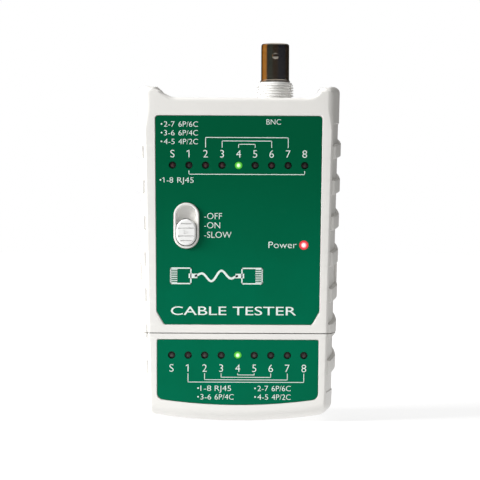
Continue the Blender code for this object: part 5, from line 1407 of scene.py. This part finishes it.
crown = turned([(0, battery_right - 0.6 * MM), (2.9 * MM, battery_right - 0.6 * MM),
                (2.9 * MM, battery_right + 1.9 * MM), (2.6 * MM, battery_right + 2.1 * MM),
                (2.1 * MM, battery_right + 2.1 * MM), (2.1 * MM, battery_right + 0.4 * MM),
                (0, battery_right + 0.4 * MM)], (0, battery_y, stud_low), "X", 48)
slits = [("UNION", crown)]
for k in range(3):
    slit = block((battery_right + 0.6 * MM, -3.2 * MM, -0.22 * MM),
                 (battery_right + 3 * MM, 3.2 * MM, 0.22 * MM))
    bmesh.ops.rotate(slit, verts=slit.verts, cent=(0, 0, 0),
                     matrix=Matrix.Rotation(math.pi * k / 3, 3, "X"))
    bmesh.ops.translate(slit, verts=slit.verts, vec=(0, battery_y, stud_low))
    slits.append(("DIFFERENCE", slit))
carve(studs, slits)

# The battery snap: soft vinyl with two wells for the battery's studs. A red and a
# black lead leave it, run up out of the bay and end on the board.
vinyl = plastic("snap_vinyl", (0.022, 0.022, 0.023), (0.035, 0.034, 0.034), 0.3 * MM, 0.02 * MM, 0.46)
snap_low, snap_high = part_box("battery_snap")
snap_loops = []
for x, inset in ((snap_low.x, 0.5), (snap_low.x + 0.4 * MM, 0.0), (snap_high.x - 0.9 * MM, 0.0),
                 (snap_high.x - 0.25 * MM, 0.35), (snap_high.x, 1.1)):
    snap_loops.append(battery_ring(x, 6.0 * MM - inset * MM, 12.5 * MM - inset * MM, 4.5 * MM - inset * MM))
snap = add("battery_snap_cap", loft(snap_loops), vinyl, "master", 30)
carve(snap, [("DIFFERENCE", rod(3.3 * MM, (0, battery_y, z), "X", snap_low.x - 1 * MM,
                                snap_low.x + 2.1 * MM, 40)) for z in (stud_low, stud_high)], 30)
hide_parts("battery_snap")
red_wire = plastic("red_wire", (0.50, 0.015, 0.012), (0.42, 0.010, 0.010), 0.2 * MM, 0.004 * MM, 0.36)
black_wire = plastic("black_wire", (0.016, 0.016, 0.017), (0.024, 0.024, 0.025), 0.2 * MM, 0.004 * MM, 0.36)
for lead_name, order, finish in (("red", 1, red_wire), ("black", -1, black_wire)):
    run_x = bay_half - 2.2 * MM + order * 0.9 * MM
    lead_y, lead_z = battery_y, battery_z + (3 - 2 * order) * MM
    channel_y, turn_z, board_x = bay_inner + 2.7 * MM, bay_high + (5.5 + order) * MM, run_x - 4.5 * MM
    knots = [(snap_high.x + 0.3 * MM, lead_y, lead_z), (run_x - 0.2 * MM, lead_y, lead_z + 0.8 * MM),
             (run_x, lead_y - 1.5 * MM, lead_z + (5 + order) * MM), (run_x, channel_y, bay_high - 1.5 * MM),
             (run_x, channel_y, bay_high + 2.5 * MM), (board_x + 1 * MM, channel_y + 0.5 * MM, turn_z),
             (board_x, board_rear + 1.5 * MM, turn_z + 0.5 * MM),
             (board_x, board_rear + 0.4 * MM, turn_z + 0.5 * MM)]
    lead = add(f"battery_lead_{lead_name}_wire", tube(through(knots, 8), 0.58 * MM, 14), finish, "master")
    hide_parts(f"battery_lead_{lead_name}")

# ---------------------------------------------------------------- case screws
# Six self-tapping steel screws come in from the rear: four hold the master's halves
# together and two the remote end's. Cross recess, zinc plated.
zinc = metal("screw_zinc", (0.58, 0.58, 0.57), (0.40, 0.40, 0.39), 0.30, 900.0)
head_seat, head_top, screw_tip = 11.4 * MM, 12.8 * MM, -7.6 * MM


def case_screw(name, x, z, body):
    dome = [(0, head_top), (1.0 * MM, head_top - 0.05 * MM), (1.6 * MM, head_top - 0.28 * MM),
            (1.98 * MM, head_top - 0.7 * MM), (2.1 * MM, head_top - 1.1 * MM), (2.06 * MM, head_seat),
            (1.0 * MM, head_seat), (1.0 * MM, screw_tip + 2.4 * MM), (0.15 * MM, screw_tip), (0, screw_tip)]
    screw = add(name + "_steel", turned(dome, (x, 0, z), "Y", 40), zinc, body)
    steps = [("UNION", threaded(1.1 * MM, 0.82 * MM, 0.9 * MM, screw_tip + 2.2 * MM, head_seat - 1.5 * MM,
                                (x, 0, z), "Y", 28, 8))]
    for wide, tall in ((1.35, 0.28), (0.28, 1.35)):
        top = [(x + u * wide * MM, z + v * tall * MM) for u, v in ((-1, -1), (1, -1), (1, 1), (-1, 1))]
        foot = [(x + (a - x) * 0.45, z + (b - z) * 0.45) for a, b in top]
        steps.append(("DIFFERENCE", loft([[(a, head_top - 1.0 * MM, b) for a, b in foot],
                                          [(a, head_top + 0.3 * MM, b) for a, b in top]])))
    carve(screw, steps)
    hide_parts(name)


for number, (x, z) in enumerate(master_screws(), 1):
    case_screw(f"master_case_screw_{number}", x, z, "master")
for number, (x, z) in enumerate(remote_places, 1):
    case_screw(f"remote_case_screw_{number}", x, z, "remote")
